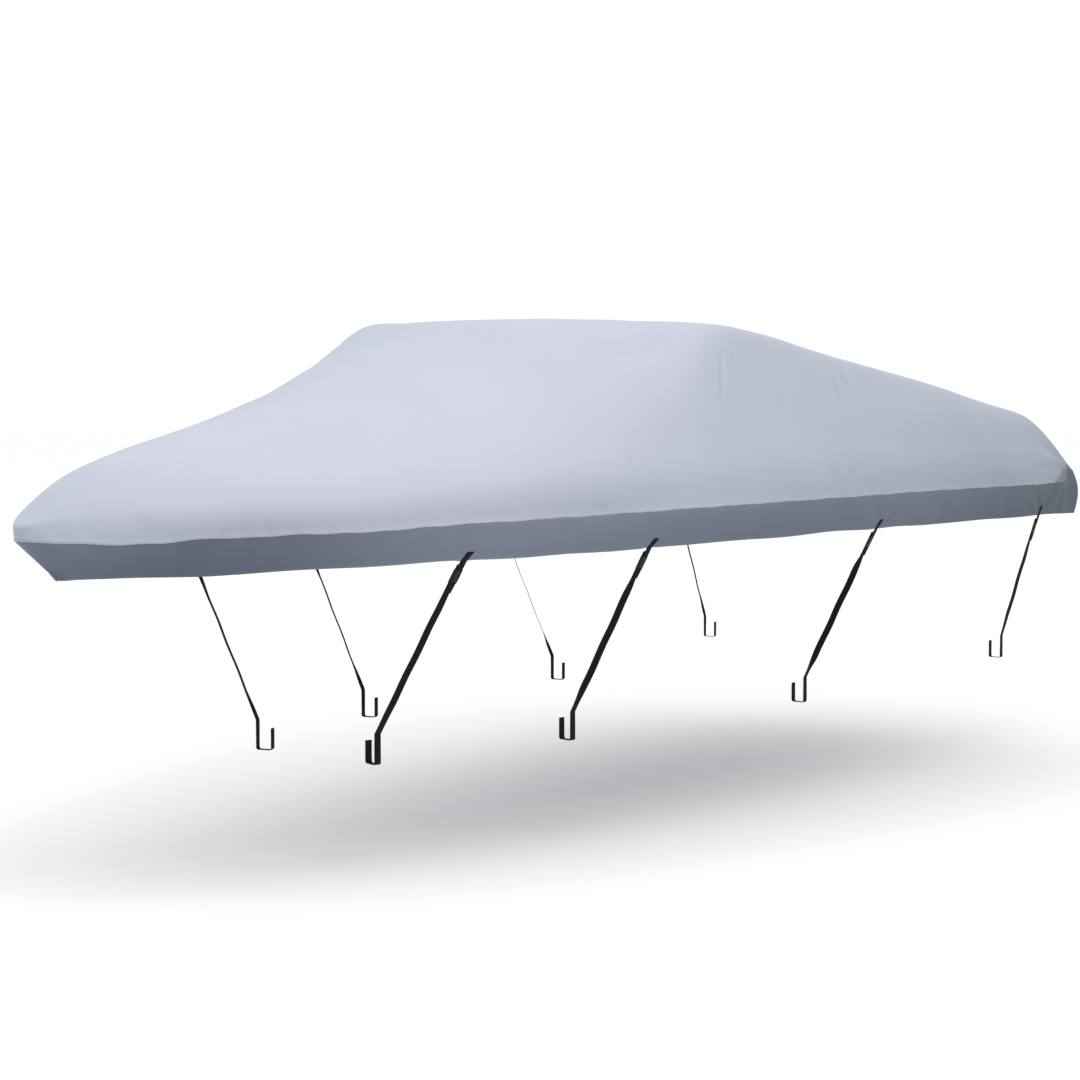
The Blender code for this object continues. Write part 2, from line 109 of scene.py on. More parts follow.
# station  foot_y  foot_height  foot_spread
STRAPS = (
    (1.225, 0.272, 0.490, 0.30),
    (2.000, 0.490, 0.495, 0.20),
    (3.385, 0.630, 0.490, 0.10),
    (4.892, 0.795, 0.545, 0.10),
)
STRAP_FLAT = 0.020            # half the length of hem that gives a strap's directions
WEBBING_WIDTH = 0.025
WEBBING = 0.0016              # its thickness
TAB_WIDTH = 0.025
TAB_LEVEL = 0.84              # level of the skirt that gives a tab's way up
TAB_RISE = 0.044              # how far a tab is sewn up the skirt
TAB_DROP = 0.032              # from the hem down to the buckle's top bar
TAB_RETURN = 0.014            # and turned back behind it
BUCKLE_WIDTH = 0.034
BUCKLE_LENGTH = 0.060
BUCKLE_BODY = 0.010           # thickness of its body
BUCKLE_BAR = 0.004            # and of its frame
TAIL = 0.034                  # a strap's loose end, below the buckle's lower bar
TAIL_LEAN = 0.4               # share of its gap by which its end leans to the strap
BAR_TURN = 0.0014             # radius of the webbing's turn round a bar
KNEE_TURN = 0.010             # and of the tab's turn at the hem
FOOT_DEPTH = 0.100            # the turned foot: how far down,
FOOT_WIDTH = 0.055            # across
FOOT_RISE = 0.075             # and up again
FOOT_TURN = 0.008             # radius of its corners

GROUND = -(RIDGE_HEIGHT - CLOTH)      # the floor's height in the part's own frame

# ------------------------------------------------------------------------ camera
FOCAL_PX = 1991.0             # in pixels of the 1080 pixel frame
FRAME_PX = 1080.0
SENSOR_MM = 36.0
CAMERA_AT = (-3.578, -4.562, 1.468)   # station, y, height
CAMERA_YAW = 0.647            # from straight aft towards starboard
CAMERA_PITCH = 0.054          # downwards


def to_frame(points):
    """From station, y and height above the ground to the part's own frame."""
    return np.asarray(points, dtype=float) - np.array([RIDGE_STATION, 0.0, -GROUND])


def make_camera():
    """The photograph's viewpoint: placed by its angles, with a square frame."""
    look = Vector((cos(CAMERA_YAW) * cos(CAMERA_PITCH), sin(CAMERA_YAW) * cos(CAMERA_PITCH),
                   -sin(CAMERA_PITCH)))
    right = Vector((sin(CAMERA_YAW), -cos(CAMERA_YAW), 0.0))
    data = bpy.data.cameras.new("view")
    data.sensor_width = SENSOR_MM
    data.lens = FOCAL_PX / FRAME_PX * SENSOR_MM
    data.clip_end = 200.0
    made = bpy.data.objects.new("view", data)
    bpy.context.scene.collection.objects.link(made)
    turn = Matrix((right, right.cross(look), -look)).transposed().to_4x4()
    made.matrix_world = Matrix.Translation(Vector(to_frame(CAMERA_AT))) @ turn
    bpy.context.scene.camera = made


make_camera()


# ------------------------------------------------------ shape of the cover
def smooth_curve(points):
    """A curve through (x, y) points that keeps their rises and falls."""
    x, y = np.array(points, dtype=float).T
    step = np.diff(x)
    rise = np.diff(y) / step
    slope = np.zeros_like(y)
    slope[0] = rise[0]
    slope[-1] = rise[-1]
    for i in range(1, len(x) - 1):
        if rise[i - 1] * rise[i] > 0:
            before = 2 * step[i] + step[i - 1]
            after = step[i] + 2 * step[i - 1]
            slope[i] = (before + after) / (before / rise[i - 1] + after / rise[i])

    def value(at):
        at = np.clip(at, x[0], x[-1])
        i = np.clip(np.searchsorted(x, at) - 1, 0, len(x) - 2)
        t = (at - x[i]) / step[i]
        return ((1 + 2 * t) * (1 - t) ** 2 * y[i] + t * (1 - t) ** 2 * step[i] * slope[i]
                + t * t * (3 - 2 * t) * y[i + 1] + t * t * (t - 1) * step[i] * slope[i + 1])

    return value


def along(station):
    """Place along the cover that grows fast at the bow, from 0 to 1."""
    return np.sqrt(np.clip(station, 0.0, LENGTH) / LENGTH)


ROWS = np.array(SECTIONS)
HALF_BREADTH, KNUCKLE_Y, KNUCKLE_Z, CROWN_Z, FULLNESS, EASE = [
    smooth_curve(np.stack([along(ROWS[:, 0]), ROWS[:, k]], 1)) for k in range(1, 7)]
SKIRT_DROP = smooth_curve([(row[0], row[1]) for row in SKIRT])
SKIRT_TUCK = smooth_curve([(row[0], row[2]) for row in SKIRT])


def soft_step(value):
    """0 below 0, 1 above 1, and smooth between."""
    value = np.clip(value, 0.0, 1.0)
    return value * value * (3.0 - 2.0 * value)


def fade_in(value, start, length):
    """0 up to start, 1 from a length past it, and smooth between."""
    return soft_step((value - start) / length)


def bell(value, middle, reach):
    """exp(-((value - middle) / reach) ** 2), which is 1 in the middle."""
    return np.exp(-((value - middle) / reach) ** 2)


def beyond_knuckle(station, y, share, fade):
    """0 on the crown, 1 outside a share of the knuckle's y, fading in over a width."""
    return soft_step((np.abs(y) - share * KNUCKLE_Y(along(station))) / fade)


def half_breadth(station):
    """Widest line's distance from the centreline, with its stern corner rounded."""
    into = np.clip(station - (LENGTH - CORNER_RADIUS), 0.0, CORNER_RADIUS)
    corner = CORNER_RADIUS - np.sqrt(CORNER_RADIUS ** 2 - into ** 2)
    return HALF_BREADTH(along(station)) - corner


def edge_height(station):
    """The widest line droops to the bow along a parabola, and lifts at its tip."""
    fall = (1.0 - station / LENGTH) ** 2
    lift = EDGE_TIP_LIFT * np.exp(-station / EDGE_TIP_REACH)
    return EDGE_HEIGHT_STERN + (EDGE_HEIGHT_BOW - EDGE_HEIGHT_STERN) * fall + lift


def climb(station):
    """The seam's climb inside the widest line, from 0 to 1 at the stern."""
    return soft_step((station - SEAM_LENGTH) / CLIMB_REACH + 1.0)


def seam_breadth(station):
    """The seam's distance from the centreline."""
    return half_breadth(station) - CLIMB_INSET * climb(station)


def lower_of(a, b, ease):
    """The lower of two heights, with their meeting rounded off."""
    return 0.5 * (a + b - np.sqrt((a - b) ** 2 + ease ** 2))


def top_height(station, y):
    """Cloth height: the side, crown and stern surfaces, eased together."""
    place = along(station)
    off = np.abs(y)
    breadth = half_breadth(station)
    edge = edge_height(station)
    knuckle_y = np.maximum(KNUCKLE_Y(place), 0.001)
    knuckle_z = KNUCKLE_Z(place)
    crown = CROWN_Z(place)
    run = np.maximum(HALF_BREADTH(place) - knuckle_y, 0.001)
    side = edge + (knuckle_z - edge) / run * (breadth - off)
    top = crown - (crown - knuckle_z) * (off / knuckle_y) ** FULLNESS(place)
    beside = (station - RIDGE_STATION) / RIDGE_TILT_REACH
    top = top + RIDGE_TILT * np.clip(y / knuckle_y, -1.0, 1.0) * np.exp(-beside ** 2)
    height = lower_of(side, top, EASE(place) * soft_step((breadth - off) / EDGE_REACH))
    fall = edge + STERN_SLOPE * (LENGTH - station)
    from_rim = np.minimum(breadth - off, LENGTH - station)
    return lower_of(height, fall, STERN_EASE * soft_step(from_rim / EDGE_REACH))


def skirt_shape(station, y, level):
    """The skirt's outside under seam points: level 0 is the seam, 1 the hem.

    station and y are the seam's, one for each column, and level is a column
    vector. Out to the widest line it swells by (1 - level) ** CLIMB_POWER, and
    in to the hem it tucks by level ** (1 + out / LENGTH).
    """
    side = np.sign(y)
    stern = station > SEAM_LENGTH - 1e-6
    out = np.where(stern, LENGTH, station + CLIMB_INSET_STERN * climb(station))
    widen = half_breadth(LENGTH) / seam_breadth(SEAM_LENGTH)
    out_y = np.where(stern, y * widen, side * half_breadth(out))
    low = np.minimum(out + BOW_RAKE * np.exp(-out / BOW_RAKE_REACH), LENGTH)
    tuck = SKIRT_TUCK(low)
    drop = SKIRT_DROP(low)
    shrink = 1.0 - tuck / HALF_BREADTH(along(LENGTH))
    inside = np.maximum(half_breadth(low) - tuck, BOW_PINCH * half_breadth(out))
    rounded = out >= LENGTH - CORNER_RADIUS
    low_y = side * np.where(rounded, half_breadth(out) * shrink, inside)
    low_y = np.where(stern, out_y * shrink, low_y)
    low = low - tuck * np.clip((out - (LENGTH - CORNER_RADIUS)) / CORNER_RADIUS, 0.0, 1.0)
    pull = level ** (1.0 + out / LENGTH)
    swell = (1.0 - level) ** CLIMB_POWER
    seam_z = top_height(station, y)
    return np.stack([out + (low - out) * pull + (station - out) * swell,
                     out_y + (low_y - out_y) * pull + (y - out_y) * swell,
                     seam_z + (edge_height(out) - drop - seam_z) * level], -1)


NOSE_DRAW = 0.023             # how far the drawn cloth pulls the bow's seam inwards
NOSE_REACH = 0.055            # how far above the seam the top still feels it
NOSE_TUCK = 0.5               # the share more that the hem is pulled
NOSE_FADE = (0.30, 0.55)      # the pull is full up to this station, and fades over this
TIP_STATION = 0.003           # the outline's lean is taken no nearer to the tip
TIP_BREADTH = 0.01            # the sideways pull grows from the middle over this
LEAN_STEP = 0.002             # and the lean is taken over this each way


def drawn_nose(station, y, off):
    """The pull inwards at the bow, square to the widest line as seen from above.

    It is NOSE_DRAW at the seam, falls as exp(-off / NOSE_REACH) up the
    top, and fades out aft of the bow.
    """
    at = np.maximum(station, TIP_STATION)
    lean = (half_breadth(at + LEAN_STEP) - half_breadth(at - LEAN_STEP)) / (2 * LEAN_STEP)
    much = (NOSE_DRAW * (1.0 - fade_in(station, *NOSE_FADE))
            * np.exp(-np.maximum(off, 0.0) / NOSE_REACH) / np.hypot(1.0, lean))
    sideways = np.clip(y / TIP_BREADTH, -1.0, 1.0)
    return np.stack([much * lean, -much * sideways, 0.0 * much], -1)


# --------------------------------------------------------------- mesh helpers
def link(name, mesh):
    """A new object at the origin for a mesh in the part's own frame."""
    made = bpy.data.objects.new(name, mesh)
    bpy.context.scene.collection.objects.link(made)
    return made


def build_mesh(name, points, faces, uvs=None, attributes=None):
    """A mesh from arrays: points (n, 3), faces all of one size, one uv and value a point."""
    mesh = bpy.data.meshes.new(name)
    mesh.vertices.add(len(points))
    mesh.vertices.foreach_set("co", np.asarray(points, dtype=np.float32).ravel())
    mesh.loops.add(faces.size)
    mesh.loops.foreach_set("vertex_index", faces.ravel().astype(np.int32))
    mesh.polygons.add(len(faces))
    starts = np.arange(0, faces.size, faces.shape[1], dtype=np.int32)
    mesh.polygons.foreach_set("loop_start", starts)
    mesh.update(calc_edges=True)
    if uvs is not None:
        layer = mesh.uv_layers.new(name="cloth")
        layer.data.foreach_set("uv", uvs[faces.ravel()].astype(np.float32).ravel())
    for key, values in (attributes or {}).items():
        mesh.attributes.new(key, "FLOAT", "POINT").data.foreach_set(
            "value", np.asarray(values, dtype=np.float32))
    mesh.validate()
    mesh.shade_smooth()
    return mesh


def surface_normals(grid, wrap):
    """Unit normals of a grid of points by differences, where wrap closes its columns."""
    down = np.gradient(grid, axis=0)
    if wrap:
        across = (np.roll(grid, -1, axis=1) - np.roll(grid, 1, axis=1)) / 2
    else:
        across = np.gradient(grid, axis=1)
    normal = np.cross(down, across)
    return normal / np.maximum(np.linalg.norm(normal, axis=-1, keepdims=True), 1e-12)


def grid_quads(rows, columns, wrap, start=0):
    """Quads of a grid whose points run row by row."""
    i, j = np.meshgrid(np.arange(rows - 1), np.arange(columns if wrap else columns - 1),
                       indexing="ij")
    k = (j + 1) % columns
    corners = [i * columns + j, (i + 1) * columns + j, (i + 1) * columns + k, i * columns + k]
    return np.stack(corners, -1).reshape(-1, 4) + start


def rim_quads(loop, count):
    """Quads from a border loop of the outer layer to the same points of the inner."""
    ahead = np.roll(loop, -1)
    return np.stack([ahead, loop, loop + count, ahead + count], -1)


def cap_quads(count):
    """Strips of quads across an end ring of an even number of points."""
    j = np.arange(count // 2 - 1)
    return np.stack([j, j + 1, count - 2 - j, count - 1 - j], -1)


def turned_outwards(points, faces):
    """A closed shape with its quads turned outwards, judged by its signed volume."""
    a, b, c, d = [points[faces[:, k]] for k in range(4)]
    volume = np.sum(a * (np.cross(b, c) + np.cross(c, d)))
    return points, faces if volume > 0 else faces[:, ::-1]


def run_along(points):
    """Distance along a line of points, from 0 at its first."""
    return np.concatenate([[0.0], np.cumsum(np.linalg.norm(np.diff(points, axis=0), axis=1))])


def headings(points):
    """Unit directions along a line of points."""
    ahead = np.gradient(points, axis=0)
    return ahead / np.linalg.norm(ahead, axis=1, keepdims=True)


def colour(hex_code):
    """Linear RGB and alpha from an sRGB hex code."""
    parts = [int(hex_code[i:i + 2], 16) / 255 for i in (0, 2, 4)]
    return [c / 12.92 if c <= 0.04045 else ((c + 0.055) / 1.055) ** 2.4 for c in parts] + [1.0]


# ---------------------------------------------------------------- webbing bands
BAND_STEP = 0.012             # longest piece of a band's path
BAND_TURN = pi / 12           # finest turn of its corners
BAND_ACROSS = 7               # points across each face
SELVEDGE = 0.35               # thickness of its edges, as a share of its middle's


def rounded_path(corners):
    """Points and widthwise directions along a path of (corner, radius, across)."""
    path = [(corners[0][0], corners[0][2])]
    for before, (corner, radius, across), after in zip(corners, corners[1:], corners[2:]):
        start = (before[0] - corner).normalized()
        end = (after[0] - corner).normalized()
        bend = pi - start.angle(end)
        reach = radius * tan(bend / 2)
        centre = corner + (start + end).normalized() * radius / cos(bend / 2)
        first = corner + start * reach - centre
        last = corner + end * reach - centre
        turns = max(1, ceil(bend / BAND_TURN))
        for k in range(turns + 1):
            path.append((centre + first.slerp(last, k / turns) * radius, across))
    path.append((corners[-1][0], corners[-1][2]))
    return path


def fine_path(corners):
    """The rounded path as arrays, its straight runs cut into short steps."""
    path = rounded_path(corners)
    points, across = [np.array(path[0][0])], [np.array(path[0][1])]
    for (p, a), (q, b) in zip(path, path[1:]):
        steps = max(1, ceil((q - p).length / BAND_STEP))
        for k in range(1, steps + 1):
            points.append(np.array(p.lerp(q, k / steps)))
            across.append(np.array(a.lerp(b, k / steps).normalized()))
    return np.array(points), np.array(across)


def band_mesh(name, points, across, width, thickness):
    """A closed band: flat faces, rounded selvedges, and its own length as uv.

    A section has BAND_ACROSS points on each face at x = width / 2 * sin(a), and
    its half thickness falls from thickness / 2 to its SELVEDGE share as x ** 8.
    """
    face = np.cross(across, headings(points))
    face /= np.linalg.norm(face, axis=1, keepdims=True)
    x = np.sin(np.linspace(-0.5, 0.5, BAND_ACROSS) * pi)
    half = thickness / 2 * (SELVEDGE + (1.0 - SELVEDGE) * (1.0 - x ** 8))
    x = np.concatenate([x, x[::-1]]) * width / 2
    z = np.concatenate([half, -half[::-1]])
    grid = (points[:, None] + across[:, None] * x[None, :, None]
            + face[:, None] * z[None, :, None])
    run = run_along(points)
    uvs = np.stack(np.broadcast_arrays(x[None, :], run[:, None]), -1).reshape(-1, 2)
    count, ring = len(points), 2 * BAND_ACROSS
    cap = cap_quads(ring)
    faces = np.concatenate([grid_quads(count, ring, True), cap,
                            cap[:, ::-1] + (count - 1) * ring])
    return build_mesh(name, *turned_outwards(grid.reshape(-1, 3), faces), uvs)


def strap_base(station, side):
    """Where a strap crosses the hem: its point, the way up, aft and outwards."""
    places = np.array([station - STRAP_FLAT, station + STRAP_FLAT])
    y = side * seam_breadth(places)
    low, high = [to_frame(skirt_shape(places, y, level)) for level in (1.0, TAB_LEVEL)]
    hem = Vector(low.mean(0))
    up = (Vector(high.mean(0)) - hem).normalized()
    aft = (Vector(low[1]) - Vector(low[0])).normalized()
    return hem, up, aft, aft.cross(up).normalized() * -side


def strap_corners(station, foot_y, foot_height, spread, side):
    """Corners of the tab and the strap, and the buckle's middle and directions."""
    hem, up, aft, outward = strap_base(station, side)
    lie = outward * (GAP + WEBBING / 2)
    foot_aft = Vector((1.0, side * spread, 0.0)).normalized()
    foot_out = Vector((-side * foot_aft.y, side * foot_aft.x, 0.0))
    foot = Vector(to_frame([station, side * foot_y, foot_height]))
    knee = hem + lie
    down = (foot - knee).normalized()
    across = (aft - down * aft.dot(down)).normalized()
    face = across.cross(down) * side
    beside = face * (BUCKLE_BAR / 2 + GAP + WEBBING / 2)
    beyond = down * (BUCKLE_BAR / 2 + GAP + WEBBING / 2)
    top_bar = knee + down * TAB_DROP - beside
    low_bar = top_bar + down * (BUCKLE_LENGTH - BUCKLE_BAR)
    tab = ((hem + up * TAB_RISE + lie, 0.0, aft),
           (knee, KNEE_TURN, (aft + across).normalized()),
           (top_bar + beside + beyond, BAR_TURN, across),
           (top_bar - beside + beyond, BAR_TURN, across),
           (top_bar - beside - down * TAB_RETURN, 0.0, across))
    edge = foot + foot_out * WEBBING / 2
    under = edge - Vector((0.0, 0.0, FOOT_DEPTH + WEBBING / 2))
    behind = under - foot_out * (FOOT_WIDTH + WEBBING)
    strap = ((low_bar + beside * (1.0 - TAIL_LEAN) + down * TAIL, 0.0, across),
             (low_bar + beside - beyond, BAR_TURN, across),
             (low_bar - beside - beyond, BAR_TURN, across),
             (edge, FOOT_TURN, (across + foot_aft).normalized()),
             (under, FOOT_TURN, foot_aft),
             (behind, FOOT_TURN, foot_aft),
             (behind + Vector((0.0, 0.0, FOOT_RISE)), 0.0, foot_aft))
    return tab, strap, (top_bar + low_bar) / 2, across, down


FLUTTER_MM = 1.1              # how far a taut strap's free run waves from straight
FLUTTER_LENGTH = 0.19         # length of one wave
FLUTTER_PHASE = 1.7           # from one strap's wave to the next one's, in radians
FREE_AFTER_TAIL = 0.03        # the free run starts this far past the tail's length
FREE_BEFORE_FOOT = 0.02       # and ends this far before the turned foot
FREE_FADE = 0.10              # wave and turn fade over this at both ends

# How far each strap's free run turns about its own length, in degrees.
# port  starboard
STRAP_TURNS = (
    (10, -12),
    (34, -20),
    (52, -30),
    (12, -16),
)


def flutter(points, across, phase, degrees):
    """Lets the free run between buckle and foot wave a little and turn partly over.

    Both are full in its middle and fade to nothing at the buckle and the foot.
    """
    run = run_along(points)
    free_start = TAIL + FREE_AFTER_TAIL
    free_end = run[-1] - FOOT_DEPTH - FOOT_WIDTH - FOOT_RISE - FREE_BEFORE_FOOT
    window = soft_step((run - free_start) / FREE_FADE) * soft_step((free_end - run) / FREE_FADE)
    tangent = headings(points)
    wave = np.sin(2 * pi * run / FLUTTER_LENGTH + phase) * window * FLUTTER_MM / 1000
    turn = (radians(degrees) * window)[:, None]
    return (points + np.cross(across, tangent) * wave[:, None],
            across * np.cos(turn) + np.cross(tangent, across) * np.sin(turn))


def make_straps():
    """The taut straps, as bands of flat webbing, and the tabs that carry them."""
    tabs, straps = [], []
    for side_name, side in SIDES:
        for index, row in enumerate(STRAPS, 1):
            name = f"{side_name}_{index}"
            tab, strap, middle, _, down = strap_corners(*row, side)
            points, ways = fine_path(strap)
            degrees = STRAP_TURNS[index - 1][0 if side < 0 else 1]
            points, ways = flutter(points, ways, index * FLUTTER_PHASE + side, degrees)
            made = link(f"strap_band_{name}",
                        band_mesh("strap_band", points, ways, WEBBING_WIDTH, WEBBING))
            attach(made, "root")
            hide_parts(f"strap_{name}")
            straps.append(made)
            points, ways = fine_path(tab)
            made = link(f"tab_band_{name}", band_mesh("tab_band", points, ways, TAB_WIDTH, WEBBING))
            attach(made, "root")
            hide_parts(f"tab_{name}")
            tabs.append(made)
    return tabs, straps


TAB_BANDS, STRAP_BANDS = make_straps()


# ------------------------------------------------------------------ cloth folds
# Soft ridges (rise above 0) and troughs (below 0) on the sides.
# They run from one station and height to another. A rooted one is full at its
# first end and fades to its second. side is 0 for both.
# side  station_a  height_a  station_b  height_b  width_mm  rise_mm  rooted
SIDE_FOLDS = (
    (0, 2.95, 1.387, 0.30, 1.232, 75, 5.0, 0),      # long soft line under the knuckle
    (0, 4.60, 1.345, 2.60, 1.372, 60, 2.5, 0),
    (-1, 2.43, 1.800, 2.335, 1.505, 15, -2.2, 0),   # pulled down from the ridge's end
    (-1, 2.46, 1.800, 2.362, 1.520, 12, 2.4, 0),
    (-1, 2.52, 1.800, 2.415, 1.525, 14, -1.6, 0),
    (-1, 2.312, 1.690, 2.270, 1.540, 14, -1.6, 0),
    (-1, 2.60, 1.790, 2.47, 1.560, 24, -1.6, 0),
    (-1, 3.211, 1.672, 3.239, 1.588, 13, -4.2, 0),  # short pulls
    (-1, 3.244, 1.677, 3.273, 1.605, 12, 3.6, 0),
    (-1, 3.298, 1.705, 3.322, 1.648, 13, -3.8, 0),
    (-1, 3.331, 1.702, 3.354, 1.656, 11, 2.6, 0),
    (-1, 2.950, 1.330, 3.040, 1.296, 14, -3.0, 0),  # small crumple above the seam
    (-1, 3.030, 1.292, 3.115, 1.305, 13, 2.8, 0),
    (-1, 3.085, 1.322, 3.235, 1.337, 14, -2.6, 0),
    (-1, 3.120, 1.345, 3.230, 1.310, 12, 2.0, 0),
    (-1, 1.882, 1.420, 1.835, 1.335, 14, -2.8, 0),
    (-1, 1.850, 1.412, 1.812, 1.345, 12, 2.2, 0),
    (-1, 2.700, 1.560, 2.790, 1.590, 16, -2.0, 0),
    (-1, 2.712, 1.500, 2.690, 1.455, 16, -1.6, 0),
    (-1, 5.285, 1.300, 4.820, 1.330, 26, -4.0, 1),  # fan from the stern corner
    (-1, 5.290, 1.310, 4.860, 1.395, 30, 3.0, 1),
    (-1, 5.280, 1.330, 4.960, 1.480, 30, -3.0, 1),
    (-1, 5.260, 1.285, 4.880, 1.268, 20, 2.5, 1),
    (-1, 0.075, 1.262, 0.040, 1.170, 18, -3.0, 1),  # round the bow
    (-1, 0.150, 1.278, 0.120, 1.165, 22, -2.2, 0),
    (-1, 0.240, 1.272, 0.262, 1.165, 24, -2.0, 0),
    (-1, 0.480, 1.165, 0.520, 1.260, 26, -2.2, 1),
    (1, 2.42, 1.810, 2.33, 1.520, 15, -2.8, 0),
    (1, 2.49, 1.800, 2.40, 1.540, 15, -2.2, 0),
    (1, 3.62, 1.600, 3.76, 1.690, 16, -3.0, 0),
    (1, 3.60, 1.560, 3.72, 1.630, 14, 2.4, 0),
    (1, 1.560, 1.400, 1.500, 1.310, 15, -2.6, 0),
    (1, 4.250, 1.320, 4.340, 1.290, 14, -2.8, 0),
    (1, 5.285, 1.300, 4.840, 1.340, 26, -3.6, 1),
    (1, 5.285, 1.320, 4.900, 1.430, 30, 3.0, 1),
    (1, 0.160, 1.275, 0.130, 1.165, 22, -2.4, 0),
)

# The same on the crown and the front slope, by station and y.
# station_a  y_a  station_b  y_b  width_mm  rise_mm  rooted
CROWN_FOLDS = (
    (2.21, -0.790, 1.72, -0.560, 26, -3.0, 1),
    (2.20, -0.740, 1.80, -0.420, 34, 2.2, 1),
    (2.22, 0.800, 1.76, 0.600, 26, -3.0, 1),
    (2.20, 0.730, 1.82, 0.440, 34, 2.2, 1),
    (1.95, -0.180, 0.90, -0.120, 90, -3.0, 0),
    (1.95, 0.300, 0.80, 0.210, 95, -3.0, 0),
    (0.16, -0.030, 0.95, -0.060, 40, 2.2, 0),
    (2.36, -0.700, 2.34, 0.700, 40, -1.8, 0),
    (2.60, -0.520, 3.60, -0.480, 70, -3.5, 0),
    (2.60, 0.560, 3.70, 0.500, 70, -3.5, 0),
    (3.20, -0.100, 4.60, -0.180, 90, -4.0, 0),
    (5.18, -0.700, 4.70, -0.350, 40, -3.0, 1),
    (5.18, 0.680, 4.66, 0.320, 40, -3.0, 1),
)
FOLD_DEPTH = 1.6              # how much deeper all the folds are than the tables say
NARROW_MM = 30                # widest side fold whose trough gets painted shade

# Gathers run along each side, group -1 or 1, and across the stern, group 0.
# group  start  end
PUCKER_RUNS = ((-1, 0.03, 5.26), (1, 0.03, 5.26), (0, -0.88, 0.88))
PUCKER_SEED = 20
PUCKER_STEP = (0.050, 0.130)  # from one gather to the next
PUCKER_UP = (0.014, 0.055)    # how far each runs up the top
PUCKER_DOWN = (0.020, 0.060)  # and down the skirt
PUCKER_LEAN = 0.5             # how far it may lean, for each metre from the seam
PUCKER_WIDTH = (0.009, 0.017)
PUCKER_RISE = (-0.0019, -0.0005)
PUCKER_MORE_AT_BOW = 0.9      # share that they are deeper at the bow tip
PUCKER_BOW_REACH = 1.2

SEAM_WANDER = 0.0022          # how far the seam wanders up and down
SEAM_WAVES = ((0.29, 0.9, 1.0), (0.127, 2.0, 0.7))   # length, phase and share of each
SEAM_CALM = 0.35              # share of its wandering that is left far aft
SEAM_CALM_REACH = 0.9
SEAM_TIP = 0.10               # length over which it sets in at the bow tip
SEAM_WANDER_REACH = 0.035     # how far from the seam it still shows

# Where the drawn cloth pulls the seam below its line, on both sides.
# station  sag_mm
SEAM_SAG = ((0.00, 0), (0.04, 4), (0.12, 9), (0.22, 13), (0.28, 16), (0.35, 10), (0.42, 5),
            (0.50, 8), (0.75, 7), (0.90, 10), (1.00, 3), (1.50, 1), (2.20, 0), (3.60, 1),
            (4.80, 5), (5.20, 0))
SEAM_SAG_REACH = 0.06         # how far from the seam the sag still shows
HOLD_REACH = 0.030            # how far from a strap's middle it holds the cloth flat

# Slow waves over all the cloth: metres for one wave along and across, a turn
# of its phase, and the rise in mm.
BILLOWS = ((1.70, 3.10, 0.4, 2.2), (0.92, 1.70, 2.1, 1.4), (0.58, 0.80, 4.4, 0.8),
           (0.36, 1.10, 1.3, 0.5), (0.75, 0.46, 5.2, 0.7))


def folds_at(a, b, folds):
    """Sum of soft folds over two surface coordinates.

    Each adds rise * exp(-(distance / width) ** 2) * taper, where the taper is
    sin(pi t) along it, or 1 - t ** 2 for a rooted one.
    """
    total = np.zeros_like(a)
    for a0, b0, a1, b1, width, rise, rooted in folds:
        da, db = a1 - a0, b1 - b0
        t = np.clip(((a - a0) * da + (b - b0) * db) / (da * da + db * db), 0.0, 1.0)
        distance = np.hypot(a - a0 - t * da, b - b0 - t * db)
        taper = 1.0 - t ** 2 if rooted else np.sin(pi * t)
        total += FOLD_DEPTH * rise / 1000 * np.exp(-(distance / (width / 1000)) ** 2) * taper
    return total


def make_puckers():
    """Small gathers where the seam was sewn, for each side and for the stern."""
    rng = np.random.default_rng(PUCKER_SEED)
    puckers = []
    for group, start, end in PUCKER_RUNS:
        place = start
        while place < end:
            at_bow = float(np.exp(-place / PUCKER_BOW_REACH))
            more = 1.0 + PUCKER_MORE_AT_BOW * abs(group) * at_bow
            puckers.append((group, place, rng.uniform(*PUCKER_UP), rng.uniform(*PUCKER_DOWN),
                            rng.uniform(-PUCKER_LEAN, PUCKER_LEAN), rng.uniform(*PUCKER_WIDTH),
                            more * rng.uniform(*PUCKER_RISE)))
            place += rng.uniform(*PUCKER_STEP)
    return puckers


PUCKERS = make_puckers()


def puckers_at(group, place, off):
    """The gathers' rise at a place along the seam, off being metres above it."""
    total = np.zeros(np.broadcast(place, off).shape)
    for which, middle, up, down, lean, width, rise in PUCKERS:
        reach = np.where(off >= 0, up, down)
        fade = np.exp(-(off / reach) ** 2)
        shift = place - middle - lean * off
        total += np.where(group == which, rise * fade * np.exp(-(shift / width) ** 2), 0.0)
    return total


def seam_wander(group, place, off):
    """How far the seam wanders up and down: two sines less its sag, fading away from it."""
    wave = sum(share * np.sin(2 * pi * place / length + phase)
               for length, phase, share in SEAM_WAVES)
    calm = SEAM_CALM + (1.0 - SEAM_CALM) * np.exp(-place / SEAM_CALM_REACH)
    much = SEAM_WANDER * calm * soft_step(place / SEAM_TIP)
    sag = np.interp(place, *np.array(SEAM_SAG).T) / 1000 * bell(off, 0.0, SEAM_SAG_REACH)
    return np.where(group == 0, 0.0, wave * much * bell(off, 0.0, SEAM_WANDER_REACH) - sag)


def billow_at(along_cloth, across_cloth):
    """Slow waves, each rise * sin(...) along times cos(...) across."""
    total = np.zeros(np.broadcast(along_cloth, across_cloth).shape)
    for wave, across, phase, rise in BILLOWS:
        total += (rise / 1000 * np.sin(2 * pi * along_cloth / wave + phase)
                  * np.cos(2 * pi * across_cloth / across + 1.7 * phase))
    return total


def strap_hold(station):
    """1 where a strap holds the cloth flat, falling to 0 beside it."""
    held = np.zeros_like(station)
    for row in STRAPS:
        held = np.maximum(held, np.exp(-((station - row[0]) / HOLD_REACH) ** 4))
    return held


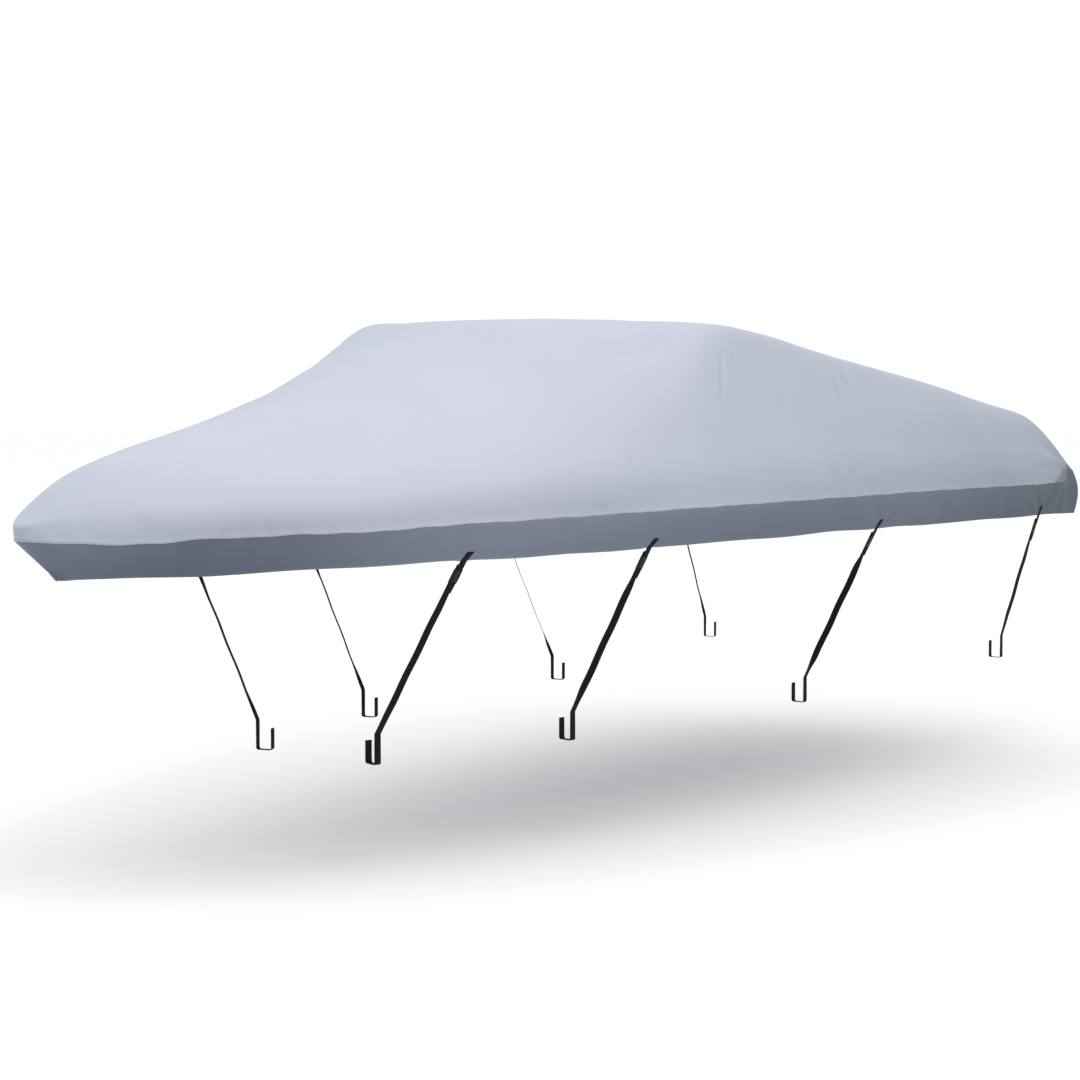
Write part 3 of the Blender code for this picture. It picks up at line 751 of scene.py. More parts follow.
# ------------------------------------------------------------------ the cloth
# Metres of the top between its sections, by where they lie.
TOP_RUNS = ((0.30, 1.20, 0.0115), (1.20, 1.90, 0.020), (1.90, 2.60, 0.0085),
            (2.60, 2.90, 0.020), (2.90, 3.42, 0.010), (3.42, 5.05, 0.024),
            (5.05, SEAM_LENGTH, 0.009))
BOW_ROWS = 44                 # sections in front of the first run
BOW_START = 0.0004
BOW_FACE = 0.8                # how far the first section's normals lean forwards
BRIDGE_ROUNDS = 160
RIDGE_END = (2.14, 0.26)      # station and reach of the rounding at the ridge's ends
RIDGE_END_OUT = (0.45, 0.20)  # it starts this far out, and grows over this
RIDGE_END_RIM = (0.10, 0.15)  # and the same from the rim inwards
RIDGE_EASE = (0.9, 0.03)      # how much the ridge's port and starboard ends are rounded
BOW_TURN = (0.14, 0.09)       # station and reach of the rounding at the bow's shoulders
BOW_TURN_RIM = (0.02, 0.04)
BOW_EASE = 0.3
STERN_PUFF = 0.014            # how far the stern's slope swells out in its middle
STERN_PUFF_AT = (5.16, 0.12)  # from this station, growing over this

# Where the drawn top lies above or below its sections, by the ridge's starboard end.
# station  y  reach_along  reach_across  lift_mm
RIDGE_PATCHES = (
    (2.02, 0.49, 0.13, 0.11, 14),
    (2.10, 0.70, 0.30, 0.16, -30),
    (1.85, 0.58, 0.15, 0.20, -10),
    (1.50, 0.35, 0.25, 0.30, -6),
)
TOP_COLUMNS = 101             # spaces between both sides' seam columns, an odd number
SIDE_DENSITY = 2.4            # how much closer the columns lie on the sides
DENSE_SIDE = (0.88, 0.06)     # where that is: share of the knuckle's y, and its fade
CLOTH_SIDE = (0.45, 0.12)     # the same for the side's own folds and tones
RIM_CALM = 0.05               # folds and billows grow from the rim inwards over this
SEAM_COLUMNS = (0.0, 0.002, 0.0048, 0.0075, 0.0095, 0.0125, 0.0145)   # from the seam
FELL = 0.0125                 # width of the seam's folded allowance
FELL_RISE = 0.0016
FELL_EDGE = 0.0024            # width over which its inner edge falls
FELL_START = 0.002            # and its outer edge rises
SEAM_STITCH = 4               # the column that the stitches follow
SEAM_GROOVE = (0.0006, 0.0016)        # depth and reach of the groove that they draw
STERN_STITCH_END = 8          # columns without stitches at each end of the stern

# Painted shade on the top, as shares of its darker tone: above the seam, far aft,
# in gathers and narrow folds' troughs, along the seam and in a wedge at each stern corner.
LOW_REACH = 0.12              # how far above the seam the painted shade reaches
GATHER_SHADE = 30.0            # share of painted shade for each metre that a gather is deep
FOLD_SHADE = 16.0              # painted shade per metre of depth of a narrow fold's trough
FOLD_SHADE_MOST = 0.008        # the depth past which a fold's trough gets no more painted shade
AFT_TOP = (0.22, 0.15)        # the aft painted shade fades from this far above the widest line
FELL_TONE = (0.30, 0.009)     # share of painted shade at the seam itself, and its reach
WEDGE_TONE = 0.95             # share of painted shade in the wedge at each stern corner
WEDGE_START = 4.985           # station where the wedge meets the widest line
WEDGE_SLOPE = 0.29            # and how its upper edge climbs aft from there
WEDGE_EDGE = 0.018            # how soft that edge is
WEDGE_OUT = (0.80, 0.08)      # it starts this far out, and grows over this
RIM_WEAR = 0.006              # reach of the paler worn edge

# station  share of painted shade above the seam  share of painted shade on the whole side
TOP_TONES = (
    (0.00, 0.00, 0.00),
    (0.15, 0.07, 0.00),
    (0.37, 0.28, 0.00),
    (0.63, 0.41, 0.00),
    (0.92, 0.35, 0.00),
    (1.27, 0.30, 0.00),
    (1.66, 0.33, 0.00),
    (2.15, 0.15, 0.00),
    (2.73, 0.26, 0.00),
    (3.50, 0.26, 0.06),
    (4.00, 0.26, 0.14),
    (4.40, 0.26, 0.20),
    (4.75, 0.26, 0.20),
    (5.20, 0.26, 0.20),
)
SAMPLES = 1201                # points at which a section is measured
TURN_WEIGHT = 0.25            # metres of cloth that one radian of turn counts as
NARROWEST = 5                 # sections under this many seam column widths close them up
RIM_FLATTEST = 0.2            # least level share of a rim's normal, squared


def runs_of(runs):
    """Places along the cover at about the given steps."""
    parts = [np.linspace(a, b, max(2, round((b - a) / step) + 1)) for a, b, step in runs]
    return np.unique(np.round(np.concatenate(parts), 6))


def top_section(station):
    """Points across one section from the port seam to starboard, and arc lengths.

    They lie at equal steps of arc length, which counts SIDE_DENSITY times more
    on the sides, plus TURN_WEIGHT times the turning. SEAM_COLUMNS lie beside both
    seams.
    """
    breadth = float(seam_breadth(station))
    y = breadth * np.sin(np.linspace(-0.5, 0.5, SAMPLES) * pi)
    z = top_height(np.full_like(y, station), y)
    length = np.hypot(np.diff(y), np.diff(z))
    heading = np.unwrap(np.arctan2(np.diff(z), np.diff(y)))
    turn = np.abs(np.diff(heading, append=heading[-1]))
    arc = np.concatenate([[0.0], np.cumsum(length)])
    beside = beyond_knuckle(station, y[:-1], *DENSE_SIDE)
    weight = 1.0 + (SIDE_DENSITY - 1.0) * beside
    run = np.concatenate([[0.0], np.cumsum(length * weight + TURN_WEIGHT * turn)])
    run = 0.5 * (run + run[-1] - run[::-1])
    edge = np.array(SEAM_COLUMNS) * min(1.0, arc[-1] / (NARROWEST * SEAM_COLUMNS[-1]))
    inner = np.linspace(np.interp(edge[-1], arc, run), np.interp(arc[-1] - edge[-1], arc, run),
                        TOP_COLUMNS + 1)
    at = np.concatenate([edge[:-1], np.interp(inner, run, arc), (arc[-1] - edge[:-1])[::-1]])
    y = np.interp(at, arc, y)
    points = np.stack([np.full_like(y, station), y, top_height(np.full_like(y, station), y)], 1)
    return points, at - arc[-1] / 2, at, arc[-1] - at


def close_sheet(name, outer, inward, rims, wrap, uvs, attributes, front=None):
    """A closed sheet from its outer grid, the vectors to its inner side and its rims.

    front holds the quads that join the first row's port half to its starboard half.
    """
    rows, columns = outer.shape[:2]
    count = rows * columns
    quads = grid_quads(rows, columns, wrap)
    if front is not None:
        quads = np.concatenate([front, quads])
    faces = [quads, quads[:, ::-1] + count] + [rim_quads(loop, count) for loop in rims]
    points = np.concatenate([outer.reshape(-1, 3), (outer + inward).reshape(-1, 3)])
    both = {key: np.tile(values.ravel(), 2) for key, values in attributes.items()}
    both["inside"] = np.repeat([0.0, 1.0], count)
    uvs = np.tile(uvs.reshape(-1, 2), (2, 1))
    return build_mesh(name, points, np.concatenate(faces), uvs, both)


def level_cut(normals, thickness):
    """Inward vectors at a rim that keep it level, as the sheets lie rim to rim."""
    flat = normals * np.array([1.0, 1.0, 0.0])
    reach = np.maximum(np.sum(flat ** 2, axis=-1, keepdims=True), RIM_FLATTEST)
    return -flat / reach * thickness


def bridged(grid, share):
    """Drawn cloth that bridges its corners: each point goes to its neighbours' mean.

    It goes there by its share, BRIDGE_ROUNDS times over.
    """
    grid = grid.copy()
    for _ in range(BRIDGE_ROUNDS):
        mean = (grid[:-2, 1:-1] + grid[2:, 1:-1] + grid[1:-1, :-2] + grid[1:-1, 2:]) / 4
        grid[1:-1, 1:-1] += share[1:-1, 1:-1, None] * (mean - grid[1:-1, 1:-1])
    return grid


def patches_at(station, y):
    """The lift of all patches: lift * exp(-(along / reach) ** 2 - (across / reach) ** 2)."""
    total = np.zeros_like(y)
    for middle, across, reach_along, reach_across, lift in RIDGE_PATCHES:
        distance = ((station - middle) / reach_along) ** 2 + ((y - across) / reach_across) ** 2
        total += lift / 1000 * np.exp(-distance)
    return total


def drawn_top(base, off):
    """The top's sections as drawn cloth: lifted, bridged at its turns, pulled at the bow.

    off is the distance from the rim, here and below.
    """
    station, y = base[..., 0], base[..., 1]
    ridge_end = (bell(station, *RIDGE_END) * fade_in(np.abs(y), *RIDGE_END_OUT)
                 * fade_in(off, *RIDGE_END_RIM))
    ridge_end *= np.where(y < 0, *RIDGE_EASE)
    bow_turn = bell(station, *BOW_TURN) * fade_in(off, *BOW_TURN_RIM)
    drawn = to_frame(base)
    drawn[..., 2] += patches_at(station, y)
    shape = bridged(drawn, np.maximum(ridge_end, BOW_EASE * bow_turn))
    return shape + drawn_nose(station, y, off)


def top_rise(base, off, walk, across):
    """The rise of folds, billows and the stern's swell, and how deep narrow folds are."""
    station, y, height = base[..., 0], base[..., 1], base[..., 2]
    on_side = beyond_knuckle(station, y, *CLOTH_SIDE)
    rise, hollow = np.zeros_like(y), np.zeros_like(y)
    for which, here in ((-1, y < 0), (1, y >= 0)):
        folds = [fold[1:] for fold in SIDE_FOLDS if fold[0] in (0, which)]
        narrow = [fold for fold in folds if fold[4] <= NARROW_MM]
        rise += np.where(here, folds_at(station, height, folds), 0.0) * on_side
        hollow -= np.where(here, folds_at(station, height, narrow), 0.0) * on_side
    rise += folds_at(station, y, CROWN_FOLDS)
    rise += billow_at(walk[:, None] + 0 * across, across)
    up_slope = (height - edge_height(station)) / (CROWN_Z(1.0) - EDGE_HEIGHT_STERN)
    swell = np.sin(pi * np.clip(up_slope, 0.0, 1.0))
    rise += STERN_PUFF * swell * fade_in(station, *STERN_PUFF_AT)
    return rise * soft_step(off / RIM_CALM), hollow


def top_shade(base, off, gathers, hollow):
    """Share of painted shade: above the seam, aft, in gathers and narrow folds, seam and wedges."""
    station, y, height = base[..., 0], base[..., 1], base[..., 2]
    above = height - edge_height(station)
    places, low_share, aft_share = np.array(TOP_TONES).T
    # painted shade above the seam, deeper in the gathers
    low = np.interp(station, places, low_share) * bell(off, 0.0, LOW_REACH)
    low -= GATHER_SHADE * gathers
    # painted shade on the sides far aft, and in narrow folds' troughs
    aft = np.interp(station, places, aft_share) * beyond_knuckle(station, y, *CLOTH_SIDE)
    aft *= 1.0 - fade_in(above, *AFT_TOP)
    aft += FOLD_SHADE * np.clip(hollow, 0.0, FOLD_SHADE_MOST)
    # painted shade in a wedge at each stern corner, and along the seam
    under_wedge = WEDGE_SLOPE * (station - WEDGE_START) - above
    wedge = soft_step(under_wedge / WEDGE_EDGE + 0.5) * fade_in(np.abs(y), *WEDGE_OUT)
    seam = FELL_TONE[0] * bell(off, 0.0, FELL_TONE[1])
    return np.maximum(low + aft, np.maximum(seam, WEDGE_TONE * wedge))


def make_top():
    """The light top: its drawn shape with folds, billows and the felled seam."""
    bow = np.linspace(sqrt(BOW_START), sqrt(TOP_RUNS[0][0]), BOW_ROWS) ** 2
    places = np.concatenate([bow[:-1], runs_of(TOP_RUNS)])
    sections = [top_section(s) for s in places]
    base, across, from_port, from_starboard = [np.array([row[k] for row in sections])
                                               for k in range(4)]
    station, y = base[..., 0], base[..., 1]
    from_stern = SEAM_LENGTH - station
    off = np.minimum(np.minimum(from_port, from_starboard), from_stern)
    shape = drawn_top(base, off)
    normals = surface_normals(shape, False)
    normals[0] += np.array([-BOW_FACE, 0.0, 0.0])
    normals[0] /= np.linalg.norm(normals[0], axis=-1, keepdims=True)
    walk = run_along(shape[:, shape.shape[1] // 2])
    uvs = np.stack(np.broadcast_arrays(across, walk[:, None]), -1)

    group = np.where(off == from_stern, 0, np.where(y < 0, -1, 1))
    gathers = puckers_at(group, np.where(group == 0, y, station), off)
    rise, hollow = top_rise(base, off, walk, across)
    rise += gathers
    fell = (soft_step((FELL + FELL_EDGE / 2 - off) / FELL_EDGE)
            * soft_step(off / FELL_START + 0.25))
    groove = bell(off, SEAM_COLUMNS[SEAM_STITCH], SEAM_GROOVE[1])
    rise += FELL_RISE * fell - SEAM_GROOVE[0] * groove
    outer = shape + normals * rise[..., None]
    outer[..., 2] += seam_wander(group, station, off)

    inward = -normals * CLOTH
    for border in (np.s_[-1], np.s_[:, 0], np.s_[:, -1]):
        inward[border] = level_cut(normals[border], CLOTH)
        outer[border][..., 2] += GAP / 2
    rows, columns = y.shape
    index = np.arange(rows * columns).reshape(rows, columns)
    loop = np.concatenate([index[:-1, 0], index[-1, :-1], index[::-1, -1]])
    tones = {"edge": bell(off, 0.0, RIM_WEAR), "shade": top_shade(base, off, gathers, hollow)}
    made = link("top_cloth", close_sheet("top_cloth", outer, inward, [loop], False, uvs,
                                         tones, cap_quads(columns)))
    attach(made, "root")
    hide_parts("cover_top")
    stitched = [(outer[:, SEAM_STITCH], normals[:, SEAM_STITCH]),
                (outer[:, -1 - SEAM_STITCH], normals[:, -1 - SEAM_STITCH])]
    row = int(np.argmin(np.abs(from_stern[:, 0] - SEAM_COLUMNS[SEAM_STITCH])))
    stitched.append((outer[row, STERN_STITCH_END:-STERN_STITCH_END],
                     normals[row, STERN_STITCH_END:-STERN_STITCH_END]))
    return made, stitched


SKIRT_STEP = 0.0100           # between the skirt's columns along the sides
STERN_STEP = 0.009            # and near the stern
SKIRT_BOW = (0.30, 26)        # columns close up ahead of this station, so many of them
STERN_POINTS = 130            # columns across the stern, with its two corners
SKIRT_LEVELS = (0.0, 0.010, 0.022, 0.045, 0.08, 0.12, 0.17, 0.23, 0.30, 0.37, 0.44, 0.51, 0.58,
                0.65, 0.71, 0.76, 0.795, 0.812, 0.824, 0.838, 0.87, 0.91, 0.95, 0.98, 1.0)
HEM_STITCH = 18               # the level that the hem's stitches follow
HEM_SWING = 0.0025            # how far the hem swings out between the straps
HEM_DIP = 0.0012              # and how far it rises and falls
HEM_RISE = 0.0008             # how far the doubled hem stands out
HEM_RISE_AT = (0.80, 0.03)    # the level where that starts, and its fade
HEM_GROOVE = (0.0010, 0.012)  # depth of the groove of its stitches, and reach in levels
HEM_WEAR = 0.030              # levels that its paler worn edge reaches
SEAM_NIP = (0.0012, 0.003)    # how far the seam nips the skirt in, and its reach
SKIRT_CALM = 0.02             # folds and billows grow from the seam down over this
SKIRT_BILLOW = (0.8, 1.3)     # the billows' stretch round the skirt, and shift down it
SKIRT_BILLOW_IN = 0.3         # levels over which they grow
CORNER_ARCH = (0.15, 0.70)    # the corners' swell is sin(pi (first + second * level))
SWING_WAVE = (0.47, 0.8, 1.9)         # as uneven_wave() takes them
DIP_WAVE = (0.62, 1.1, 2.3)
CORNER_PUFF = 0.011           # how far the stern corners swell out in the skirt's middle
CORNER_OUT = (0.86, 0.10)     # where that starts on the stern, by y, and its fade
CORNER_AFT = (5.18, 0.12)     # and on the sides, by station
LOW_TONE = 0.12               # share of painted shade that is added towards the hem

# Creases of the skirt by station and share of its drop, on both sides. Those ahead
# of the first strap lie where it turns the bow.
# station_a  level_a  station_b  level_b  width_mm  rise_mm
SKIRT_FOLDS = (
    (0.06, 0.05, 0.16, 0.95, 20, -3.0),
    (0.20, 0.02, 0.26, 0.80, 26, -2.4),
    (0.46, 0.10, 0.52, 0.98, 30, -2.0),
    (0.86, 0.30, 0.90, 1.00, 28, 1.6),
    (1.60, 0.15, 1.66, 1.00, 30, -2.0),
    (2.56, 0.25, 2.50, 1.00, 34, -2.2),
    (2.86, 0.05, 2.92, 0.90, 26, 1.8),
    (3.90, 0.20, 3.84, 1.00, 34, -2.2),
    (4.36, 0.10, 4.44, 0.90, 28, 1.6),
    (5.14, 0.05, 5.06, 0.95, 26, -2.6),
)
# Two more run up from a tab on each side of it, by their distance from its middle.
# way  from_a  level_a  from_b  level_b  width_mm  rise_mm
TAB_FOLDS = (
    (-1, 0.022, 0.86, 0.12, 0.05, 11, -2.2),
    (-1, 0.030, 0.90, 0.19, 0.40, 15, 1.8),
    (1, 0.022, 0.86, 0.12, 0.05, 11, -2.6),
    (1, 0.030, 0.90, 0.19, 0.40, 15, 1.8),
)
SKIRT_DEPTH = 0.13            # metres that one level counts as in these tables

# Painted shade on the skirt, by station: darker at the bow and aft, darkest at the stern corner.
# station  share of painted shade
SKIRT_TONES = ((0.0, 0.47), (0.10, 0.54), (0.35, 0.72), (0.65, 0.57), (0.95, 0.21), (1.30, 0.0),
               (1.70, 0.15), (2.15, 0.30), (2.75, 0.44), (3.50, 0.44), (4.40, 0.78), (5.20, 1.00))


def skirt_loop():
    """The seam from the starboard stern round the bow to port, then the stern."""
    bow_end, bow_count = SKIRT_BOW
    bow = np.linspace(0.0, sqrt(bow_end), bow_count) ** 2
    stern_start = TOP_RUNS[-1][0]
    places = np.concatenate([bow[:-1], runs_of([(bow_end, stern_start, SKIRT_STEP),
                                                (stern_start, SEAM_LENGTH, STERN_STEP)])])
    breadth = seam_breadth(places)
    breadth[0] = 0.0
    across = np.linspace(-breadth[-1], breadth[-1], STERN_POINTS)[1:-1]
    station = np.concatenate([places[::-1], places[1:], np.full_like(across, SEAM_LENGTH)])
    y = np.concatenate([breadth[::-1], -breadth[1:], across])
    group = np.concatenate([np.ones(len(places)), -np.ones(len(places) - 1),
                            np.zeros(len(across))])
    return station, y, group


def uneven_wave(run, length, sway, slow):
    """A wave that comes sooner and later: sin(2 pi run / length + sway sin(2 pi run / slow))."""
    return np.sin(2 * pi * run / length + sway * np.sin(2 * pi * run / slow))


def skirt_rise(station, y, group, level, walk, deep, gathers, held):
    """The rise of the skirt's creases, billows, swing, gathers and hem over its shape."""
    creases = list(SKIRT_FOLDS)
    creases += [(strap[0] + way * near, low, strap[0] + way * far, high, width, rise)
                for strap in STRAPS for way, near, low, far, high, width, rise in TAB_FOLDS]
    folds = [(a, u * SKIRT_DEPTH, b, v * SKIRT_DEPTH, width, rise, 0)
             for a, u, b, v, width, rise in creases]
    depth = level * SKIRT_DEPTH + 0 * station
    rise = np.where(group == 0, 0.0, folds_at(station + 0 * level, depth, folds))
    stretch, shift = SKIRT_BILLOW
    billows = billow_at(walk * stretch + 0 * level, shift + deep)
    rise += billows * soft_step(level / SKIRT_BILLOW_IN)
    swing = 0.5 + 0.5 * uneven_wave(walk, *SWING_WAVE)
    rise += HEM_SWING * swing * level ** 2
    at_corner = np.where(group == 0, fade_in(np.abs(y), *CORNER_OUT),
                         fade_in(station, *CORNER_AFT))
    arch = np.sin(pi * (CORNER_ARCH[0] + CORNER_ARCH[1] * level))
    rise += CORNER_PUFF * at_corner * arch
    rise *= soft_step(deep / SKIRT_CALM) * (1.0 - held)
    rise += gathers
    rise += HEM_RISE * fade_in(level, *HEM_RISE_AT)
    rise -= HEM_GROOVE[0] * bell(level, SKIRT_LEVELS[HEM_STITCH], HEM_GROOVE[1])
    rise -= SEAM_NIP[0] * bell(deep, 0.0, SEAM_NIP[1])
    return np.where(level > 0, rise, gathers)


def make_skirt():
    """The skirt, darker as painted shade: puckered at the seam, creased at the tabs, with its hem.
    """
    station, y, group = skirt_loop()
    level = np.array(SKIRT_LEVELS)[:, None]
    shape = to_frame(skirt_shape(station, y, level))
    shape += drawn_nose(station, y, 0.0 * level) * (1.0 + NOSE_TUCK * level[..., None])
    normals = surface_normals(shape, True)
    deep = np.linalg.norm(np.diff(shape, axis=0), axis=-1)
    deep = np.concatenate([np.zeros((1, len(y))), np.cumsum(deep, axis=0)])
    round_seam = np.linalg.norm(np.diff(shape[0], axis=0, append=shape[0][:1]), axis=1)
    walk = np.concatenate([[0.0], np.cumsum(round_seam)[:-1]])
    uvs = np.stack(np.broadcast_arrays(walk[None, :], deep), -1)

    held = strap_hold(station) * np.where(group == 0, 0.0, 1.0)
    place = np.where(group == 0, y, station)
    gathers = puckers_at(group, place + 0 * level, -deep) * (1.0 - held)
    rise = skirt_rise(station, y, group, level, walk, deep, gathers, held)
    outer = shape + normals * rise[..., None]
    outer[..., 2] += HEM_DIP * uneven_wave(walk, *DIP_WAVE) * level ** 2 * (1.0 - held)
    outer[..., 2] += seam_wander(group, place + 0 * level, deep)
    outer[0, :, 2] -= GAP / 2

    thickness = np.where(level > HEM_LEVEL, HEM_CLOTH, CLOTH)[..., None]
    inward = -normals * thickness
    inward[0] = level_cut(normals[0], CLOTH)
    inward[-1] = level_cut(normals[-1], HEM_CLOTH)
    columns = len(y)
    seam = np.arange(columns)
    hem = seam + (len(SKIRT_LEVELS) - 1) * columns
    wear = bell(1.0 - level, 0.0, HEM_WEAR) + 0 * station
    # painted shade on the skirt, by station and towards the hem
    shade = np.interp(station, *np.array(SKIRT_TONES).T) + LOW_TONE * soft_step(level)
    made = link("skirt_cloth", close_sheet("skirt_cloth", outer, inward, [seam[::-1], hem],
                                           True, uvs, {"edge": wear, "shade": shade}))
    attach(made, "root")
    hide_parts("skirt")
    ring = np.concatenate([outer, outer[:, :1]], axis=1)
    hem_line = (ring[HEM_STITCH], np.concatenate([normals[HEM_STITCH], normals[HEM_STITCH, :1]]))
    return made, [hem_line]


TOP_CLOTH, SEAM_STITCHES = make_top()
SKIRT_CLOTH, HEM_STITCHES = make_skirt()


# -------------------------------------------------------------------- stitches
STITCH_PITCH = 0.0046
STITCH = (0.0036, 0.00085, 0.0005)    # length, width and height of one stitch
STITCH_LIFT = 0.4             # its middle's height over the cloth, in its own heights
BOX_PITCH = 0.0021            # the closer stitches through the tabs
BOX_SIDE = 0.017              # the square sewn through each tab, with its cross
BOX_UP = 0.001                # its middle lies this far above the tab's own
BOX_CLEAR = 0.0001            # and stands this far off the tab's face


def sewn(line, normals, pitch=STITCH_PITCH):
    """Stitches along a line: stretched eight-sided beads, one every pitch."""
    run = run_along(line)
    at = np.arange(pitch / 2, run[-1], pitch)
    centre, up = [np.stack([np.interp(at, run, values[:, k]) for k in range(3)], 1)
                  for values in (line, normals)]
    ahead = np.stack([np.interp(at + pitch / 4, run, line[:, k])
                      - np.interp(at - pitch / 4, run, line[:, k]) for k in range(3)], 1)
    ahead /= np.maximum(np.linalg.norm(ahead, axis=1, keepdims=True), 1e-9)
    up = up / np.linalg.norm(up, axis=1, keepdims=True)
    side = np.cross(up, ahead)
    length, width, height = STITCH
    arms = np.stack([ahead * length / 2, side * width / 2, -ahead * length / 2,
                     -side * width / 2, up * height, -up * height], 1)
    points = (centre + up * height * STITCH_LIFT)[:, None] + arms
    bead = np.array([(0, 1, 4), (1, 2, 4), (2, 3, 4), (3, 0, 4),
                     (1, 0, 5), (2, 1, 5), (3, 2, 5), (0, 3, 5)])
    faces = bead[None] + 6 * np.arange(len(at))[:, None, None]
    return points.reshape(-1, 3), faces.reshape(-1, 3)


def join_parts(parts):
    """Points and faces of several shapes as one."""
    starts = np.cumsum([0] + [len(points) for points, faces in parts[:-1]])
    return (np.concatenate([points for points, faces in parts]),
            np.concatenate([faces + start for (points, faces), start in zip(parts, starts)]))


def make_thread(name, lines):
    """All the stitches of one thread as one piece."""
    points, faces = join_parts([sewn(*line) for line in lines])
    made = link(name, build_mesh(name, points, faces))
    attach(made, "root")
    return made


def tab_stitches(row, side):
    """The lines of a box and cross sewn through a tab, on its outer face."""
    hem, up, aft, outward = strap_base(row[0], side)
    middle = hem + up * (TAB_RISE / 2 + BOX_UP) + outward * (GAP + WEBBING + BOX_CLEAR)
    half = BOX_SIDE / 2
    corners = [middle + aft * (a * half) + up * (b * half)
               for a, b in ((-1, -1), (1, -1), (1, 1), (-1, 1))]
    paths = [(0, 1), (1, 2), (2, 3), (3, 0), (0, 2), (1, 3)]
    face = np.tile(np.array(outward), (2, 1))
    return [(np.array([corners[a], corners[b]]), face, BOX_PITCH) for a, b in paths]


SEAM_THREAD = make_thread("seam_thread", SEAM_STITCHES)
HEM_THREAD = make_thread("hem_thread", HEM_STITCHES)
TAB_THREAD = make_thread("tab_thread", [line for _, side in SIDES for row in STRAPS
                                        for line in tab_stitches(row, side)])


# --------------------------------------------------------------------- buckles
FRAME_POINTS = 56             # points round the frame
FRAME_POWER = 9               # how square its corners are
BAR_SECTION = (12, 3.0)       # points round a bar's section, and how square it is
BODY_ROWS = 61                # sections along the body and the arms
BODY_SECTION = (28, 5.0)
BODY_END_GAP = 0.0030         # from the frame to the body's end
BODY_SIDE_INSET = 0.0062      # from the frame's outer side to the body's
BODY_FACE_INSET = 0.0005      # from the buckle's full thickness to the body's face
BODY_WAIST = 0.05             # share by which its middle narrows and its ends widen
BODY_TAPER = 0.14             # share of its width that falls off at its rounded ends
RIB_RISE = 0.00045
RIB_PITCH = 0.0034
RIB_SPAN = 0.62               # share of the body that the grip ribs cover
ARM_INSET = 0.0046            # from the frame's outer side to a sprung arm
ARM_BOW = 0.0012              # how far an arm bows outwards in its middle
ARM_SHARE = 0.86              # its length, as a share of the body's
ARM_HALF = (0.00115, 0.0026)  # half its width and half its height
CROSS_BAR = 0.0030            # thickness of the bars that join the body to the frame
CROSS_BAR_INSET = 0.0018      # from the body's ends to their middles


def squared_circle(count, power):
    """A round-cornered square of half size 1: |x| ** power + |y| ** power = 1."""
    angle = 2 * pi * (np.arange(count) + 0.5) / count
    c, s = np.cos(angle), np.sin(angle)
    size = (np.abs(c) ** power + np.abs(s) ** power) ** (-1 / power)
    return np.stack([c * size, s * size], 1)


def carried(centres, sides, ups, profile, widths, heights, closed):
    """A profile carried along centres, widened and raised at each one."""
    grid = (centres[:, None]
            + sides[:, None] * profile[None, :, :1] * widths[:, None, None]
            + ups[:, None] * profile[None, :, 1:] * heights[:, None, None])
    rows, columns = grid.shape[:2]
    if closed:
        i, j = np.meshgrid(np.arange(rows), np.arange(columns), indexing="ij")
        down, beside = (i + 1) % rows, (j + 1) % columns
        faces = np.stack([i * columns + j, down * columns + j, down * columns + beside,
                          i * columns + beside], -1).reshape(-1, 4)
    else:
        first = cap_quads(columns)
        last = first[:, ::-1] + (rows - 1) * columns
        faces = np.concatenate([grid_quads(rows, columns, True), first, last])
    return turned_outwards(grid.reshape(-1, 3), faces)


def across_bar(place, half, thick):
    """A round-cornered bar along x at a height up the buckle."""
    x = np.linspace(-half, half, 3)
    centres = np.stack([x, np.full(3, place), np.zeros(3)], 1)
    return carried(centres, np.tile([0.0, 1.0, 0.0], (3, 1)), np.tile([0.0, 0.0, 1.0], (3, 1)),
                   squared_circle(*BAR_SECTION), np.full(3, thick / 2), np.full(3, thick / 2),
                   False)


